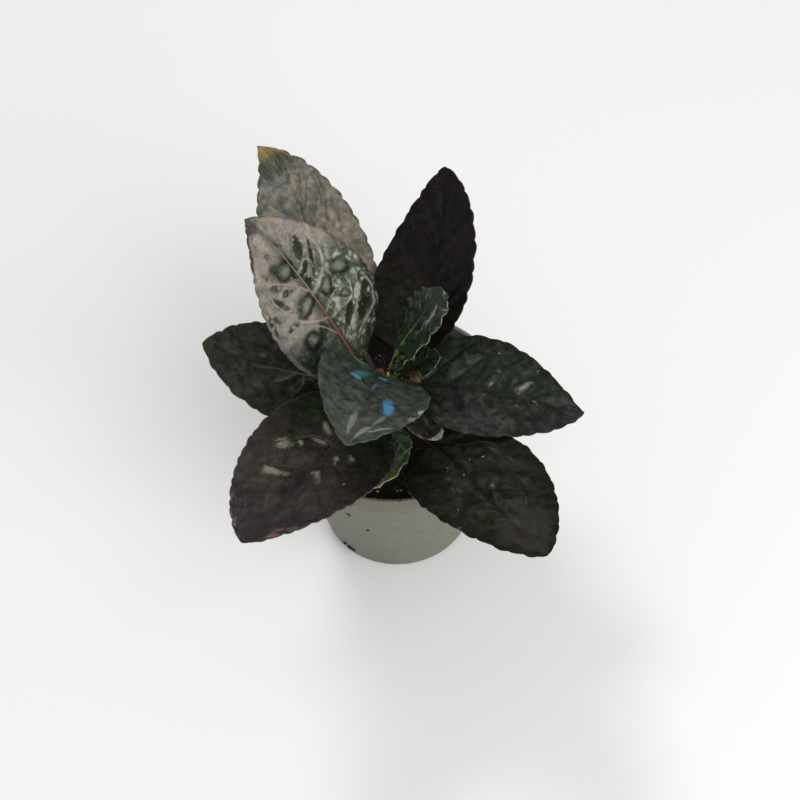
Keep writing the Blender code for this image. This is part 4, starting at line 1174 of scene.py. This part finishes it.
def soilFinish(look):
    material, tree = newFinish("peat")
    grit = attribute(tree, "grit")
    cloud = cloudy(tree, *look["cloud"])
    colour = blend(tree, cloud, look["dark"], look["brown"])
    colour = blend(tree, ramp(tree, grit, *look["tanGrit"]), colour, look["tan"])
    colour = blend(tree, ramp(tree, grit, *look["paleGrit"]), colour, look["pale"])
    rough = ramp(tree, cloud, 0.0, 1.0, *look["rough"])
    return endFinish(material, colour, rough, look["gloss"], *look["grain"])


def scatterCrumbs(name, places, sizes, grits, chance):
    # Copies of one crumb, each turned and squashed its own way.
    bpy.ops.mesh.primitive_ico_sphere_add(subdivisions=1, radius=1)
    crumb = bpy.context.active_object
    crumb.name = name
    base = readPoints(crumb)
    base = base * (0.8 + 0.35 * hashed(base[:, 0] * 3, base[:, 1] * 5 + base[:, 2], 2.0)[0])[:, None]
    copies = []
    for place, size, grit in zip(places, sizes, grits):
        copy = crumb.copy()
        copy.data = crumb.data.copy()
        bpy.context.scene.collection.objects.link(copy)
        turn = np.linalg.qr(chance.normal(size=(3, 3)))[0]
        stretch = np.array([1.0, chance.uniform(0.6, 1.0), chance.uniform(0.4, 0.9)])
        if np.linalg.det(turn) < 0:
            turn[:, 0] = -turn[:, 0]
        writePoints(copy, ((base * stretch) @ turn * size + place) * mm)
        paint(copy, "grit", grit)
        copies.append(copy)
    bpy.data.objects.remove(crumb)
    return copies


def makeSoil(shape):
    # A plug that follows the pot's inside, with a finer grid on its top.
    wall, band = potShape["wall"], potShape["height"] - potShape["bandHeight"]
    low = potShape["floor"] + 0.3
    shoulder = shape["top"] - potShape["bandHeight"]
    inside = [shoulder, *np.linspace(shoulder + 0.5, band - wall, 4)]
    rim = potShape["rimRadius"] - potShape["bandDraft"] - wall - shape["gap"]
    profile = [(0, low), (outerRadius(low) - wall - 0.3, low)]
    profile += [(outerRadius(z) - wall - shape["gap"], z) for z in inside]
    profile += [(rim * (1 - (i / shape["rings"]) ** 1.15), shape["top"]) for i in range(shape["rings"] + 1)]
    soil = turned("soil_peat", profile, shape["sides"])
    spots = readPoints(soil) / mm
    lift = soilTop(spots[:, 0], spots[:, 1])
    atWall = np.clip((np.hypot(spots[:, 0], spots[:, 1]) - rim + 1.5) / 1.5, 0, 1)
    spots[:, 2] += np.where(spots[:, 2] > shape["top"] - 0.1, lift - 0.4 * atWall, 0)
    writePoints(soil, spots * mm)
    paint(soil, "grit", 0.0)
    chance = np.random.default_rng(7)
    radii = rim * np.sqrt(chance.uniform(0.0, 0.97, shape["crumbs"]))
    angles = chance.uniform(0, 2 * np.pi, shape["crumbs"])
    x, y = radii * np.cos(angles), radii * np.sin(angles)
    sizes = 0.22 + 0.55 * chance.uniform(0, 1, shape["crumbs"]) ** 2.2
    places = np.stack([x, y, shape["top"] + soilTop(x, y) + 0.25 * sizes], -1)
    grits = chance.uniform(0, 1, shape["crumbs"]) * np.where((radii > 0.6 * rim) & (y < 0), 1.0, 0.7)
    grits = np.where((y < -0.75 * rim) & (radii > 0.85 * rim), grits + 0.2, grits)
    soil = joinPieces([soil, *scatterCrumbs("crumb", places, sizes, grits, chance)], "soil_peat")
    soil.data.materials.append(soilFinish(peatLook))
    smooth(soil, sharpFrom=50)
    return soil


finishPiece(makeSoil(soilShape), "soil")
print("soil made")


# The nursery pot

potLook = {
    "dark": (0.12, 0.124, 0.094), "light": (0.145, 0.15, 0.115), "cloud": (160.0, 0.35, 0.65),
    "scuff": (0.19, 0.19, 0.15), "scuffCloud": (520.0, 0.4, 0.66), "scuffMix": 0.35,
    "band": (0.13, 0.12, 0.085), "bandMix": 0.7, "lip": (0.30, 0.27, 0.20), "lipHighlightMix": 0.3,
    "lowTone": (0.12, 0.11, 0.085), "lowToneCloud": (420.0, 0.60, 0.70), "lowToneTop": 30, "lowToneMix": (0.15, 0.6),
    "speck": (0.03, 0.025, 0.02), "speckCloud": (800.0, 0.68, 0.72), "speckMix": 0.7,
    "rough": (0.48, 0.6), "gloss": 0.4, "grain": (3500.0, 1.0, 0.12),
}


def potFinish(shape, look):
    # Grey-green plastic with a darker band, a painted highlight along the lip, a darker brownish tone towards
    # the foot and specks.
    material, tree = newFinish("potPlastic")
    split = tree.nodes.new("ShaderNodeSeparateXYZ")
    plug(tree, objectPlace(tree), split.inputs[0])
    height = split.outputs[2]
    cloud = cloudy(tree, *look["cloud"])
    colour = blend(tree, cloud, look["dark"], look["light"])
    colour = cover(tree, colour, cloudy(tree, *look["scuffCloud"]), look["scuffMix"], look["scuff"])
    lip, band = shape["height"], shape["height"] - shape["bandHeight"]
    inBand = ramp(tree, height, (band + 0.2) * mm, (band + 0.5) * mm)
    colour = cover(tree, colour, inBand, look["bandMix"], look["band"])
    # Painted highlight: a paler line along the lip
    lipHighlightMask = ramp(tree, height, (lip - 0.6) * mm, (lip - 0.1) * mm)
    colour = cover(tree, colour, lipHighlightMask, look["lipHighlightMix"], look["lip"])
    # Darker and browner towards the foot
    low = ramp(tree, height, look["lowToneTop"] * mm, 0.0, *look["lowToneMix"])
    colour = cover(tree, colour, cloudy(tree, *look["lowToneCloud"]), low, look["lowTone"])
    colour = cover(tree, colour, cloudy(tree, *look["speckCloud"]), look["speckMix"], look["speck"])
    rough = ramp(tree, cloud, 0.0, 1.0, *look["rough"])
    return endFinish(material, colour, rough, look["gloss"], *look["grain"])


def potProfile(shape):
    top, rim, wall, floor = (shape[part] for part in ("height", "rimRadius", "wall", "floor"))
    draft = shape["bandDraft"]
    band = top - shape["bandHeight"]
    foot = outerRadius(0) - shape["footInset"]
    heel, recess = foot - shape["footWidth"], shape["footRecess"]
    return [
        (0, recess), (heel - 0.4, recess), (heel, 0), (foot, 0), (outerRadius(0.9), 0.9),
        *((outerRadius(z), z) for z in np.linspace(3, band - 0.5, 9)),
        (outerRadius(band), band - 0.05), (rim - draft - 0.15, band), (rim - draft, band + 0.25),
        (rim - draft * 0.5, band + shape["bandHeight"] * 0.5), (rim, top - 0.6), (rim - 0.12, top - 0.15),
        (rim - 0.35, top), (rim - wall + 0.3, top), (rim - wall, top - 0.4), (rim - draft - wall, band),
        *((outerRadius(z) - wall, z) for z in np.linspace(band - wall, floor + 0.5, 8)),
        (outerRadius(floor) - wall - 0.6, floor), (0, floor),
    ]


def soiling(shape):
    # Crumbs of peat stuck to the pot: three specks and a clump on the wall, and small bits on the rim.
    clump, bits = 14, 9
    top, rim = shape["height"], shape["rimRadius"]
    chance = np.random.default_rng(12)
    angles = [[-118.6, -117.8, -109.0], chance.normal(-132, 2.6, clump), chance.uniform(-106, -80, bits)]
    turns = np.radians(np.concatenate(angles))
    heights = np.concatenate([[33.6, 33.0, 25.5], chance.normal(4.2, 0.8, clump), np.full(bits, top + 0.03)])
    onRim = chance.uniform(rim - 1.0, rim - 0.4, len(heights))
    radii = np.where(heights < top, outerRadius(heights) + 0.1, onRim)
    sizes = [[0.4, 0.35, 0.42], chance.uniform(0.25, 0.6, clump), chance.uniform(0.12, 0.26, bits)]
    grits = np.concatenate([np.zeros(3 + clump), chance.uniform(0.6, 1.0, bits)])
    places = np.stack([radii * np.cos(turns), radii * np.sin(turns), heights], -1)
    crumbs = scatterCrumbs("bit", places, np.concatenate(sizes), grits, chance)
    for crumb in crumbs:
        crumb.data.materials.append(bpy.data.materials["peat"])
    return crumbs


def makePot(shape):
    pot = turned("pot_shell", potProfile(shape), shape["sides"])
    sharp = {"limit_method": "ANGLE", "angle_limit": math.radians(28)}
    applyModifier(pot, "BEVEL", width=shape["edgeWidth"] * mm, segments=2, **sharp)
    for i in range(shape["drainHoles"]):
        angle = 2 * math.pi * (i + 0.5) / shape["drainHoles"]
        place = Vector((math.cos(angle), math.sin(angle), 0)) * shape["drainCircle"] * mm
        bpy.ops.mesh.primitive_cylinder_add(
            vertices=32, radius=shape["drainRadius"] * mm, depth=4 * shape["floor"] * mm, location=place)
        cutter = bpy.context.active_object
        applyModifier(pot, "BOOLEAN", operation="DIFFERENCE", solver="EXACT", object=cutter)
        bpy.data.objects.remove(cutter)
    pot.data.materials.append(potFinish(shape, potLook))
    pot = joinPieces([pot, *soiling(shape)], "pot_shell")
    smooth(pot, sharpFrom=35)
    return pot


finishPiece(makePot(potShape), "pot")
print("pot made")
